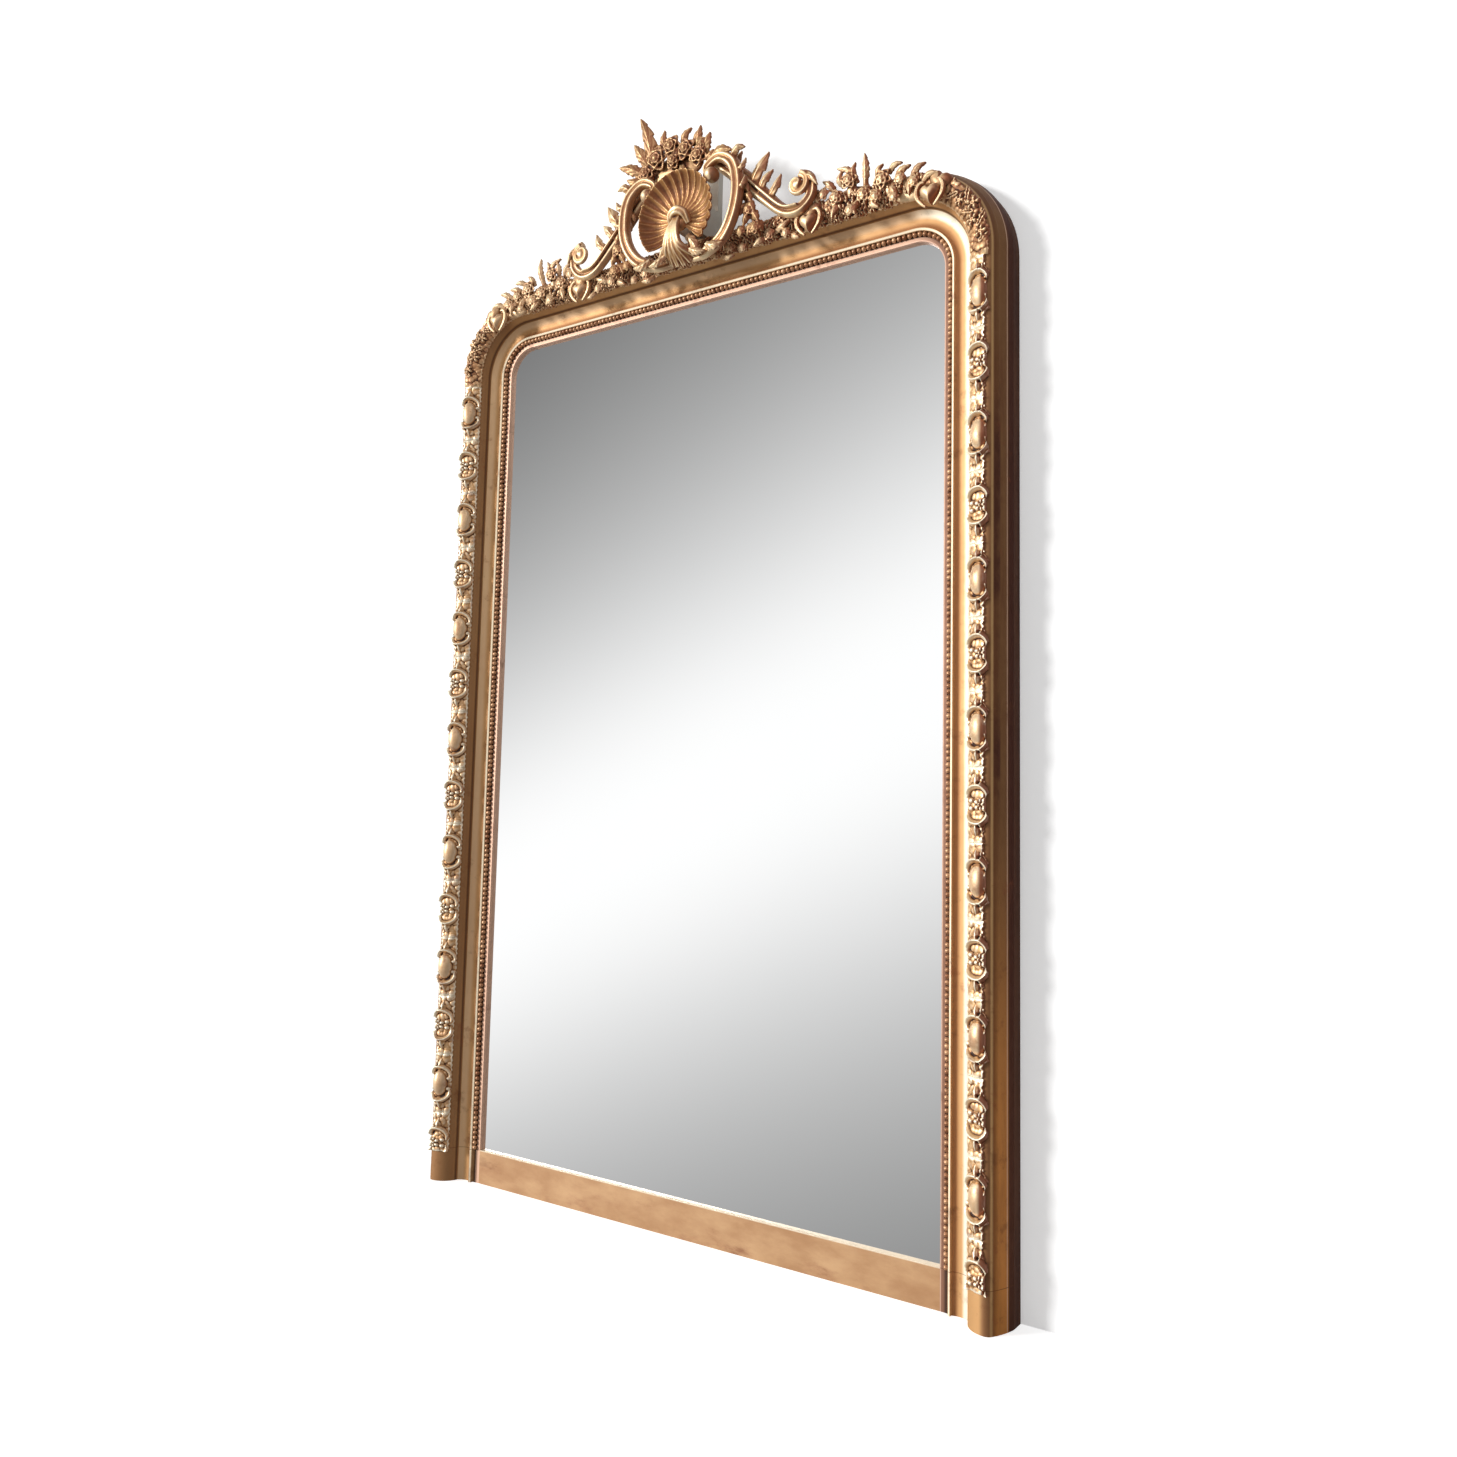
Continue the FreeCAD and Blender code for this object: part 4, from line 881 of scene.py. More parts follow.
def leaf(spots, width, thick=3.0, teeth=4, cup=0.5):
    """Thin acanthus leaf: toothed edge, ridged mid-vein and side veins."""
    rows, columns = 56, 25
    path, flat, front = path_frame(spots, rows)
    share = np.linspace(0, 1, rows)[:, None]
    across = np.linspace(-1, 1, columns)[None, :]
    tooth = 1 - 0.30 * ((teeth * share) % 1.0) ** 1.5 * (share < 0.9)
    half = width * np.sin(math.pi * np.clip(0.16 + 0.84 * share, 0, 1)) ** 0.8 * tooth
    side = half * across
    vein = np.exp(-(across / 0.10) ** 2)
    ribs = np.cos(2 * math.pi * (teeth * (share - 0.35 * np.abs(across))))
    rise = (-cup * half * np.abs(across) ** 1.6 + 1.2 * vein
            + 0.55 * ribs * (1 - vein) * (np.abs(across) < 0.92))
    top = (path[:, None] + flat[:, None] * side[..., None]
           + front[:, None] * (rise + thick * 0.5)[..., None])
    under = (path[:, None] + flat[:, None] * side[..., None] * 0.96
             + front[:, None] * (rise - thick * 0.5)[..., None])
    return slab(top, under)


def mirrored(part):
    points, faces = part
    return points * (-1, 1, 1), [face[::-1] for face in faces]


SHELL_THICKNESS = 4.5


def scallop(x, y, z, radius, flutes=21):
    """Hollow fluted fan whose rim turns forward in scallops."""
    rows, columns = 60, flutes * 14 + 1
    share = np.linspace(0.04, 1, rows)[:, None]
    angle = np.radians(np.linspace(-42, 222, columns))[None, :]
    wave = np.abs(np.sin(flutes * math.pi * np.linspace(0, 1, columns)))[None, :]
    reach = radius * (0.91 + 0.11 * np.sin(angle)) * (1 - 0.045 * (1 - wave) ** 2)
    far = share * reach
    bowl = 10 * np.sin(math.pi * np.clip(share, 0, 1) ** 1.25) - 11 * share ** 5
    flute = (1.2 + 1.9 * share) * (wave ** 0.7 - 0.5)
    split = 0.8 * np.exp(-((wave - 1) / 0.03) ** 2)
    depth = y + bowl + flute + split
    front = np.stack([x + far * np.cos(angle), depth, z + far * np.sin(angle)], -1)
    back = front + (0.0, SHELL_THICKNESS, 0.0)
    return slab(front[:, ::-1], back[:, ::-1])


def fused(name, parts, voxel):
    """Melt closed parts into one carved solid."""
    points, faces, shift = [], [], 0
    for spots, tiles in parts:
        points.append(spots)
        faces += [tuple(i + shift for i in tile) for tile in tiles]
        shift += len(spots)
    item = make_object(name, make_mesh(name, placed(np.vstack(points)), faces))
    melt = item.modifiers.new("melt", "REMESH")
    melt.mode = "VOXEL"
    melt.voxel_size = voxel
    soften = item.modifiers.new("soften", "SMOOTH")
    soften.factor = 0.4
    soften.iterations = 1
    fewer = item.modifiers.new("fewer", "DECIMATE")
    fewer.ratio = 0.5
    settled(item)
    add_relief_height(item.data, 16, 0.0018)
    return item


def carve(name, parts, coat, node, step):
    """Fuse the parts, finish the piece and let it stand for its node."""
    item = fused(name, parts, step * (1.0))
    return finish_piece(item, coat, "gilt_carving", node)


def carve_pair(name, parts, coat, node, step):
    """Carve a right-hand piece and its mirror image."""
    carve(name + "right", parts, coat, node + "right", step)
    carve(name + "left", [mirrored(part) for part in parts], coat, node + "left", step)


def arched(spots, front, rise):
    """Spots of a leaf whose middle one comes forward by rise."""
    return [(x, front - rise * (i == 1), z) for i, (x, z) in enumerate(spots)]


def c_scroll_parts():
    """C scroll of the right-hand side, its volute and the leaf on its back."""
    y = -72
    path = [(66, y, 1736), (58, y, 1750), (84, y, 1762), (113, y, 1742),
            (123, y, 1700), (116, y, 1655), (92, y + 4, 1620), (52, y + 10, 1604),
            (20, y + 16, 1604)]
    parts = [sweep(path, [7, 9, 11, 12, 12, 12, 12, 11, 7],
                   [9, 10, 12, 13, 13, 12, 11, 9, 6], groove=0.38, rows=120,
                   columns=36),
             ball(70, y - 3, 1733, 13, 14, 13, 24, 30),
             spiral(70, y - 6, 1733, 13, 2.2, 1.0, 4.5)]
    for spots, width in (([(108, 1752), (124, 1764), (140, 1762)], 9),
                         ([(120, 1724), (134, 1728), (142, 1742)], 7),
                         ([(124, 1690), (136, 1696), (141, 1712)], 6),
                         ([(60, 1612), (78, 1604), (98, 1606)], 9),
                         ([(26, 1612), (44, 1602), (62, 1600)], 8)):
        parts.append(leaf(arched(spots, y - 4, 4), width))
    return parts


def s_scroll_parts():
    """Long S scroll of the right-hand side, its volute and spiky leaves."""
    y = -53
    path = [(40, y - 8, 1788), (80, y - 4, 1756), (119, y, 1724), (165, y, 1678),
            (205, y, 1641), (235, y, 1636), (257, y, 1655), (255, y - 2, 1684),
            (236, y - 3, 1695)]
    parts = [sweep(path, [6, 12, 15, 16, 13, 11, 10, 9, 7],
                   [7, 11, 13, 13, 12, 12, 11, 10, 8], groove=0.45, rows=140,
                   columns=36),
             sweep([(px, py - 9, pz + 5) for px, py, pz in path[1:6]],
                   [2, 3, 3, 3, 2], [3, 4, 4, 4, 3], rows=90),
             spiral(235, y - 6, 1674, 19, 1.3, 1.3, 7.0, -1),
             ball(235, y - 10, 1673, 9, 7, 10, 20, 26)]
    leaves = (([(140, 1700), (158, 1722), (177, 1750)], 13),
              ([(158, 1684), (170, 1700), (186, 1716)], 9),
              ([(176, 1668), (192, 1682), (202, 1704)], 9),
              ([(96, 1742), (112, 1752), (122, 1768)], 9),
              ([(60, 1772), (78, 1780), (98, 1778)], 10),
              ([(246, 1690), (262, 1680), (272, 1664)], 6))
    for spots, width in leaves:
        parts.append(leaf(arched(spots, y - 6, 5), width, 4.0, 2, 0.35))
    return parts


def garland_parts():
    """Leafy drop between the C scroll and the top band."""
    y = -60
    drop = smooth_path([(122, y, 1716), (130, y - 2, 1690), (140, y - 2, 1660),
                        (148, y + 4, 1636), (156, y + 10, 1612)], 7)
    parts = [sweep(drop, [3, 4, 4, 3], [4, 5, 5, 4], rows=50)]
    for i, (x, front, z) in enumerate(drop[:-1]):
        for side in (-1, 1):
            spots = [(x, front - 3, z + 3), (x + side * 9, front - 8, z - 2),
                     (x + side * 15, front - 4, z - 15)]
            parts.append(leaf(spots, 6.5 + 0.5 * i, 3.0, 3))
    parts += rose(142, y - 6, 1656, 14, 9, 0.4)
    parts += rose(153, y - 2, 1622, 13, 9, 1.1)
    parts += rose(124, y - 2, 1624, 11, 8, 0.8)
    return parts


def drape_parts():
    """Tied cloth below the shell, its folds sweeping out to the right."""
    y = -74.5
    parts = [sweep([(-12, y + 2, 1662), (-10, y - 8, 1676), (4, y - 12, 1682),
                    (18, y - 8, 1676), (22, y + 2, 1662)],
                   [6, 8, 9, 8, 6], [7, 8, 9, 8, 7], groove=0.3, rows=60)]
    for k, (foot, low, sway) in enumerate(((-34, 1608, -20), (-22, 1600, -14),
                                           (-9, 1596, -7), (5, 1595, 0), (19, 1598, 7),
                                           (33, 1604, 10))):
        parts.append(sweep([(2 + 1.2 * (k - 2), y - 7, 1670),
                            (sway * 0.5, y - 12, 1650), (sway, y - 8, 1622),
                            (foot, y + 16, low)],
                           [4.5, 6.0, 6.5, 5.5], [6, 7, 7, 5], groove=0.35, rows=60))
    parts.append(leaf([(16, y + 2, 1640), (36, y - 2, 1618), (42, y + 6, 1600)], 10))
    parts.append(leaf([(-18, y + 2, 1640), (-34, y - 2, 1622), (-42, y + 6, 1608)], 9))
    return parts


def shell_parts():
    """Scallop shell hinged behind the knot."""
    return [scallop(0, -80, 1668, 87), ball(2, -74, 1664, 15, 11, 13)]


def leaf_set(*leaves, y=-70):
    """Free-standing leaves given by their spots in the front plane."""
    parts = []
    for width, lean, spots in leaves:
        reach = len(spots) - 1
        bend = [(x, y + 3 - lean * math.sin(math.pi * 0.75 * i / reach), z)
                for i, (x, z) in enumerate(spots)]
        parts.append(leaf(bend, width, 4.0, 5, 0.35))
    return parts


def bouquet_parts():
    """Roses, buds and leaves behind the shell."""
    y = -68
    parts = [ball(-20, y + 8, 1775, 62, 9, 27)]
    for x, z, size, turn in ((-52, 1798, 26, 0.2), (-20, 1812, 22, 1.0),
                             (12, 1798, 21, 0.5), (40, 1778, 21, 2.0),
                             (-76, 1778, 18, 0.8), (-14, 1784, 17, 0.1),
                             (50, 1796, 14, 0.6)):
        parts += rose(x, y - 4, z, size, 15, turn)
    parts += leaf_set((9, 8, [(-70, 1800), (-84, 1812), (-98, 1822)]),
                      (9, 8, [(-34, 1812), (-40, 1830), (-36, 1848)]),
                      (9, 9, [(0, 1806), (8, 1824), (24, 1834)]),
                      (8, 8, [(22, 1804), (34, 1816), (44, 1830)]),
                      (9, 7, [(-88, 1774), (-106, 1772), (-122, 1780)]),
                      (8, 8, [(-4, 1776), (4, 1764), (16, 1756)]),
                      (8, 8, [(-64, 1778), (-70, 1764), (-66, 1750)]),
                      (9, 8, [(52, 1780), (62, 1772), (72, 1780)]))
    return parts


def heart_solid(x, y, z, radius):
    """Puffed smooth heart, its point down, in a C-shaped rim."""
    u, v = np.meshgrid(np.linspace(0.02, 1, 24), np.linspace(0, 2 * math.pi, 73),
                       indexing="ij")
    across = radius * u * np.sin(v) ** 3
    up = radius * u * (13 * np.cos(v) - 5 * np.cos(2 * v) - 2 * np.cos(3 * v)
                       - np.cos(4 * v)) / 15
    rise = 0.75 * radius * np.sqrt(np.clip(1 - u ** 2.4, 0, 1))
    front = np.stack([x + across, y - rise, z + up], -1)
    back = front.copy()
    back[..., 1] = y + 6
    parts = [slab(front[:, ::-1], back[:, ::-1])]
    for side in (-1, 1):
        hook = [(x + side * radius * a, y - 2, z + radius * b)
                for a, b in ((0.45, 1.15), (1.0, 1.05), (1.32, 0.4), (1.2, -0.3),
                             (0.75, -0.9), (0.35, -1.25))]
        parts.append(sweep(hook, [2.0, 3.4, 3.8, 3.6, 3.0, 2.0], [4, 5, 6, 6, 5, 3],
                           groove=0.4, rows=60, columns=20))
    return parts


def spray_parts():
    """Flowers, leaves and hearts that stand out of half the top band."""
    y = -44
    parts = heart_solid(249, y - 2, 1612, 17) + heart_solid(466, y - 2, 1600, 17)
    for x, z, wide, high in ((322, 1640, 38, 17), (384, 1630, 30, 15),
                             (288, 1634, 22, 16), (430, 1618, 32, 14)):
        parts.append(ball(x, y + 12, z, wide, 7, high))
    for x, z in ((324, 1662), (350, 1652), (300, 1650), (392, 1648)):
        parts.append(ball(x, y + 7, z - 14, 9, 9, 16))
    for x, z, size, turn in ((324, 1662, 16, 0.2), (384, 1647, 17, 0.9),
                             (300, 1640, 14, 0.5), (350, 1632, 14, 1.4),
                             (276, 1652, 12, 0.1), (372, 1622, 13, 0.7),
                             (415, 1640, 12, 1.0), (438, 1628, 12, 0.3),
                             (172, 1612, 12, 0.3), (205, 1606, 10, 0.9),
                             (326, 1612, 11, 0.6), (404, 1612, 10, 1.2),
                             (62, 1604, 12, 0.2), (92, 1608, 12, 1.1),
                             (118, 1602, 10, 0.4)):
        parts += rose(x, y - 3, z, size, size * 0.62, turn)
    parts += leaf_set((7.5, 9, [(350, 1650), (354, 1676), (352, 1700)]),
                      (6, 8, [(330, 1668), (322, 1680), (300, 1688)]),
                      (7, 8, [(296, 1650), (288, 1664), (274, 1674)]),
                      (6, 8, [(392, 1656), (404, 1664), (420, 1664)]),
                      (7, 8, [(430, 1636), (444, 1648), (460, 1652)]),
                      (6, 8, [(448, 1624), (464, 1632), (482, 1630)]),
                      (7, 7, [(306, 1634), (296, 1620), (292, 1606)]),
                      (7, 7, [(338, 1628), (332, 1614), (336, 1602)]),
                      (7, 7, [(362, 1624), (366, 1612), (378, 1602)]),
                      (7, 7, [(392, 1634), (402, 1624), (408, 1606)]),
                      (6, 7, [(422, 1632), (430, 1620), (430, 1606)]),
                      (7, 7, [(180, 1616), (196, 1620), (214, 1628)]),
                      (7, 7, [(166, 1612), (152, 1606), (140, 1598)]),
                      (7, 7, [(72, 1602), (86, 1594), (102, 1594)]),
                      (6, 7, [(268, 1636), (262, 1650), (266, 1664)]),
                      (6, 6, [(212, 1606), (222, 1596), (232, 1592)]),
                      (7, 8, [(336, 1656), (330, 1674), (336, 1690)]),
                      (7, 8, [(312, 1656), (306, 1668), (310, 1682)]),
                      (6, 8, [(372, 1652), (376, 1664), (386, 1672)]),
                      (7, 8, [(404, 1644), (416, 1652), (434, 1656)]), y=y)
    return parts


# ------------------------------------------------------------ geometry nodes
def node_group(name, sockets):
    """Empty geometry tree with the named inputs and one geometry output."""
    tree = bpy.data.node_groups.new(name, "GeometryNodeTree")
    for label, kind, value in sockets:
        entry = tree.interface.new_socket(label, in_out="INPUT", socket_type=kind)
        if value is not None:
            entry.default_value = value
    tree.interface.new_socket("Geometry", in_out="OUTPUT",
                              socket_type="NodeSocketGeometry")
    return tree, add_node(tree, "NodeGroupInput"), add_node(tree, "NodeGroupOutput")


def place_copies(points, unit, scale, tree, given, end):
    """Instance the unit on the points, realize it and set its material."""
    inputs = {"Points": points, "Instance": unit}
    if scale is not None:
        inputs["Scale"] = scale
    on = add_node(tree, "GeometryNodeInstanceOnPoints", inputs)
    real = add_node(tree, "GeometryNodeRealizeInstances",
                    {"Geometry": on.outputs["Instances"]})
    coat = add_node(tree, "GeometryNodeSetMaterial",
                    {"Geometry": real.outputs["Geometry"],
                     "Material": given.outputs["Material"]})
    fill_sockets(tree, end, {"Geometry": coat.outputs["Geometry"]})


def bead_tree():
    """Beads threaded at even steps along the path that the object holds."""
    tree, given, end = node_group("bead row", (
        ("Geometry", "NodeSocketGeometry", None), ("Pitch", "NodeSocketFloat", 0.0091),
        ("Radius", "NodeSocketFloat", 0.0042), ("Stretch", "NodeSocketFloat", 1.0),
        ("Material", "NodeSocketMaterial", None)))
    line = add_node(tree, "GeometryNodeMeshToCurve", {"Mesh": given.outputs["Geometry"]})
    steps = add_node(tree, "GeometryNodeCurveToPoints",
                     {"Curve": line.outputs["Curve"], "Length": given.outputs["Pitch"]},
                     mode="LENGTH")
    bead = add_node(tree, "GeometryNodeMeshUVSphere",
                    {"Segments": 18, "Rings": 11, "Radius": given.outputs["Radius"]})
    size = add_node(tree, "ShaderNodeCombineXYZ",
                    {"X": 1.0, "Y": 1.0, "Z": given.outputs["Stretch"]})
    place_copies(steps.outputs["Points"], bead.outputs["Mesh"], size.outputs["Vector"],
                 tree, given, end)
    return tree


def run_tree():
    """Copies of the chosen unit, one above the other at an even pitch."""
    tree, given, end = node_group("running ornament", (
        ("Geometry", "NodeSocketGeometry", None), ("Unit", "NodeSocketObject", None),
        ("Count", "NodeSocketInt", 7), ("First", "NodeSocketFloat", 0.18),
        ("Pitch", "NodeSocketFloat", 0.218), ("Material", "NodeSocketMaterial", None)))
    start = add_node(tree, "ShaderNodeCombineXYZ", {"Z": given.outputs["First"]})
    step = add_node(tree, "ShaderNodeCombineXYZ", {"Z": given.outputs["Pitch"]})
    row = add_node(tree, "GeometryNodeMeshLine",
                   {"Start Location": start.outputs["Vector"],
                    "Offset": step.outputs["Vector"], "Count": given.outputs["Count"]},
                   mode="OFFSET")
    unit = add_node(tree, "GeometryNodeObjectInfo", {"Object": given.outputs["Unit"]})
    place_copies(row.outputs["Mesh"], unit.outputs["Geometry"], None, tree, given, end)
    return tree


def grown(item, tree, values):
    """Give the object the tree with its values, then keep the plain mesh."""
    rule = item.modifiers.new(tree.name, "NODES")
    for socket in tree.interface.items_tree:
        if socket.in_out == "INPUT" and socket.name in values:
            rule[socket.identifier] = values[socket.name]
    rule.node_group = tree
    settled(item)
    return item


def bead_path():
    """Line of bead centres up the left, over the top and down the right."""
    across, high, reach = HALF_WIDTH + 11, SIGHT_HEIGHT - CORNER, CORNER + 11
    spots = [(-across, -3, 4), (-across, -3, high)]
    for k in range(1, 25):
        way = math.pi - k * math.pi / 48
        spots.append((-(HALF_WIDTH - CORNER) + reach * math.cos(way), -3,
                      high + reach * math.sin(way)))
    right = [(-x, y, z) for x, y, z in reversed(spots)]
    return spots + right


# ------------------------------------------------------------ flat finishes
def gilt_board():
    """Matte old gold of the plain bottom board, rubbed towards its foot."""
    mat = Finish("gilt_board")
    z = mat.z
    blotch = mat.noise(11.0, 6.0, 0.6, (1.0, 1.0, 2.2))
    fine = mat.noise(150.0, 5.0)
    tone = mat.mix(paint(172, 128, 88), paint(200, 160, 118), blotch.ramp(0.25, 0.75))
    rub = mat.noise(20.0, 8.0, 0.65, (0.6, 1.0, 1.6))
    tone = mat.mix(tone, BOLE, rub.ramp(0.5, 0.75) * z.ramp(0.050, 0.010) * 0.55)
    tone = mat.mix(tone, UMBER, rub.ramp(0.60, 0.72) * 0.3)
    # painted highlight along the board's top edge
    tone = mat.mix(tone, CREAM, z.ramp(0.0582, 0.0594) * 0.6)
    rough = 0.46 + fine * 0.2
    return mat.finish(tone, rough, 0.35, fine, 0.0002)


def edge_finish():
    """Pine rail, gilded dark over the bole on its outer edge."""
    mat = Finish("rail_edge")
    out = mat.from_sight_edge()
    grain = mat.noise(12.0, 6.0, 0.6, (4.0, 4.0, 0.5))
    tone = mat.mix(paint(178, 136, 88), paint(146, 104, 62), grain.ramp(0.35, 0.68))
    streak = mat.noise(30.0, 6.0, 0.65, (1.0, 1.0, 0.12)).ramp(0.4, 0.7)
    edge = mat.mix(UMBER, RUDDY, streak)
    gilt = out.ramp(0.1075, 0.1082)
    tone = mat.mix(tone, edge, gilt)
    return mat.finish(tone, grain * 0.2 + 0.45, gilt * 0.65, grain, 0.0003)


def plain_finishes():
    """Materials of the pieces that stay as the frame gives them."""
    recipes = {
        "pine": (paint(178, 136, 88), paint(146, 104, 62), 0.6, 0.0, 9.0,
                 (5.0, 5.0, 0.6)),
        "backing_pine": (paint(158, 122, 84), paint(120, 88, 56), 0.7, 0.0, 7.0,
                         (6.0, 6.0, 0.5)),
        "screw_steel": (paint(130, 128, 124), paint(96, 90, 84), 0.35, 0.9, 60.0),
        "plate_iron": (paint(70, 66, 62), paint(96, 66, 48), 0.5, 0.7, 40.0),
        "gesso": (paint(232, 227, 216), paint(216, 208, 194), 0.7, 0.0, 12.0)}
    return {name: simple_finish(name, *values) for name, values in recipes.items()}


# ------------------------------------------------------------------- stage
def empty_material(name):
    mat = bpy.data.materials.new(name)
    mat.use_nodes = True
    mat.node_tree.nodes.clear()
    return mat, mat.node_tree


def stage_finish(name, base, glow):
    """Matte ground, pale to the camera, that keeps shadows; clear from behind."""
    mat, tree = empty_material(name)
    path = add_node(tree, "ShaderNodeLightPath")
    matte = add_node(tree, "ShaderNodeBsdfDiffuse", {"Color": (base, base, base, 1)})
    light = add_node(tree, "ShaderNodeEmission", {"Strength": glow})
    both = add_node(tree, "ShaderNodeAddShader",
                    {0: matte.outputs[0], 1: light.outputs[0]})
    pick = add_node(tree, "ShaderNodeMixShader",
                    {0: path.outputs["Is Camera Ray"], 1: matte.outputs[0],
                     2: both.outputs[0]})
    facing = add_node(tree, "ShaderNodeNewGeometry")
    clear = add_node(tree, "ShaderNodeBsdfTransparent")
    behind = add_node(tree, "ShaderNodeMixShader",
                      {0: facing.outputs["Backfacing"], 1: pick.outputs[0],
                       2: clear.outputs[0]})
    add_node(tree, "ShaderNodeOutputMaterial", {"Surface": behind.outputs[0]})
    return mat


def card_finish():
    """Reflection card: a white slanting band that greys above and below."""
    mat, tree = empty_material("reflection_card")
    where = add_node(tree, "ShaderNodeTexCoord")
    parts = add_node(tree, "ShaderNodeSeparateXYZ", {0: where.outputs["Object"]})
    x, z = Value(tree, parts.outputs["X"]), Value(tree, parts.outputs["Z"])
    away = ((z - x * 0.43 - 2.15).absolute() - 0.12).most(0.0)
    level = (away * away * 0.25 + 1.0) ** -1.0 * 1.06
    light = add_node(tree, "ShaderNodeEmission", {"Strength": level})
    add_node(tree, "ShaderNodeOutputMaterial", {"Surface": light.outputs[0]})
    return mat


def upright(y, left, right, foot, top):
    """Corners of an upright rectangle at depth y."""
    return [(left, y, foot), (right, y, foot), (right, y, top), (left, y, top)]


def flat_board(name, corners, material):
    item = make_object(name, make_mesh(name, corners, [(0, 1, 2, 3)], False))
    item.data.materials.append(material)
    return item


def soft_lamp(name, place, target, size, power):
    """Square soft lamp that looks at the target."""
    light = bpy.data.lights.new(name, "AREA")
    light.shape = "RECTANGLE"
    light.size, light.size_y = size
    light.energy = power
    item = make_object(name, light)
    item.location = place
    item.rotation_euler = (Vector(target) - Vector(place)).to_track_quat(
        "-Z", "Y").to_euler()
    return item


def place_camera():
    """Camera where the photograph was taken from."""
    camera = make_object("camera", bpy.data.cameras.new("camera"))
    camera.data.sensor_width = 36.0
    camera.data.lens = 29.50
    camera.data.shift_x = -0.0033
    camera.data.shift_y = -0.0246
    yaw, pitch, roll = (math.radians(angle) for angle in (34.54, 5.49, 1.26))
    forward = Vector((-math.sin(yaw) * math.cos(pitch),
                      math.cos(yaw) * math.cos(pitch), math.sin(pitch)))
    right = Vector((math.cos(yaw), math.sin(yaw), 0))
    up = right.cross(forward)
    side = right * math.cos(roll) + up * math.sin(roll)
    top = up * math.cos(roll) - right * math.sin(roll)
    turn = Matrix((side, top, -forward)).transposed().to_4x4()
    camera.matrix_world = Matrix.Translation((1.2248, -1.669, 0.7133)) @ turn
    bpy.context.scene.camera = camera


# --------------------------------------------------------------- operators
class MIRROR_OT_finish_frame(bpy.types.Operator):
    """Gild the mouldings and board and finish the glass, backing and ironwork"""
    bl_idname = "mirror.finish_frame"
    bl_label = "Finish the frame"

    def execute(self, context):
        finishes = plain_finishes()
        finishes["gilt"] = gilt_moulding()
        finishes["board"] = gilt_board()
        finishes["glass"] = silvered_plate()
        finishes["edge"] = edge_finish()
        kinds = (("inner_moulding", "gilt"), ("outer_moulding", "gilt"),
                 ("plinth", "gilt"), ("base_board", "board"), ("mirror_plate", "glass"),
                 ("stile", "edge"), ("top_rail", "edge"), ("crest_spine", "gesso"),
                 ("crest_block", "gesso"),
                 ("backing_board", "backing_pine"), ("hanging_plate", "plate_iron"),
                 ("plate_screws", "screw_steel"), ("batten_screws", "screw_steel"),
                 ("crest_screws", "screw_steel"))
        for name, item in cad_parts.items():
            found = [finish for start, finish in kinds if name.startswith(start)]
            give_material(item, finishes[found[0] if found else "pine"])
        return {"FINISHED"}


class MIRROR_OT_add_beads(bpy.types.Operator):
    """Lay the string of beads inside the cove"""
    bl_idname = "mirror.add_beads"
    bl_label = "Beads"

    def execute(self, context):
        sizes = context.scene.mirror_settings
        spots = placed(bead_path())
        mesh = bpy.data.meshes.new("beads")
        mesh.from_pydata([tuple(p) for p in spots],
                         [(i, i + 1) for i in range(len(spots) - 1)], [])
        coat = simple_finish("bead_gilding", paint(206, 160, 120),
                             paint(136, 86, 54), 0.3, 0.45, 70.0)
        item = grown(make_object("beads", mesh), bead_tree(),
                     {"Pitch": sizes.bead_pitch, "Radius": sizes.bead_radius,
                      "Stretch": 1.0, "Material": coat})
        finish_piece(item, coat, "beads", "bead_string_left", "bead_string_right",
                     "bead_string_top", "bead_string_corner_left",
                     "bead_string_corner_right")
        return {"FINISHED"}


class MIRROR_OT_add_running(bpy.types.Operator):
    """Press the bosses and cartouches that run up both stiles"""
    bl_idname = "mirror.add_running"
    bl_label = "Running ornament"

    def execute(self, context):
        sizes = context.scene.mirror_settings
        coat = gilt_carving("running_gilding", CREAM, GOLD, OLD_GOLD)
        middle, half = 700.0, sizes.motif_pitch * 500
        step = sizes.relief_step * 1000 * 1.0

        def boss(s, t, at=middle):
            body = boss_motif(s - at, drawn_in(t))
            return edged(s - at, t, body, swelling(s - at, 27), 3)

        def cartouche(s, t, at=middle):
            body = cartouche_motif(s - at, drawn_in(t))
            return edged(s - at, t, body, swelling(s - at, 22), 4)

        tree = run_tree()
        for side in ("left", "right"):
            parts = []
            for label, draw, first in (("bosses", boss, 1), ("cartouches", cartouche, 2)):
                mesh = relief_mesh(label + "_unit", middle - half, middle + half, draw,
                                   step, side == "left", middle)
                unit = reduced(mesh, 0.4)
                empty = make_object(label + "_" + side, make_mesh(label, [], []))
                start = BASE / 1000 + sizes.motif_first + first * sizes.motif_pitch
                count = (sizes.motif_count - first + 1) // 2
                grown(empty, tree, {"Unit": unit, "Count": count, "First": start,
                                    "Pitch": 2 * sizes.motif_pitch, "Material": coat})
                bpy.data.objects.remove(unit)
                parts.append(empty)
            foot = relief_mesh("foot_" + side, -5, 65.5,
                               lambda s, t: cartouche(s, t, 11), step, side == "left")
            parts.append(reduced(foot, 0.4))
            for item in parts:
                finish_piece(item, coat, "gilt_carving", "ornament_" + side)
        return {"FINISHED"}


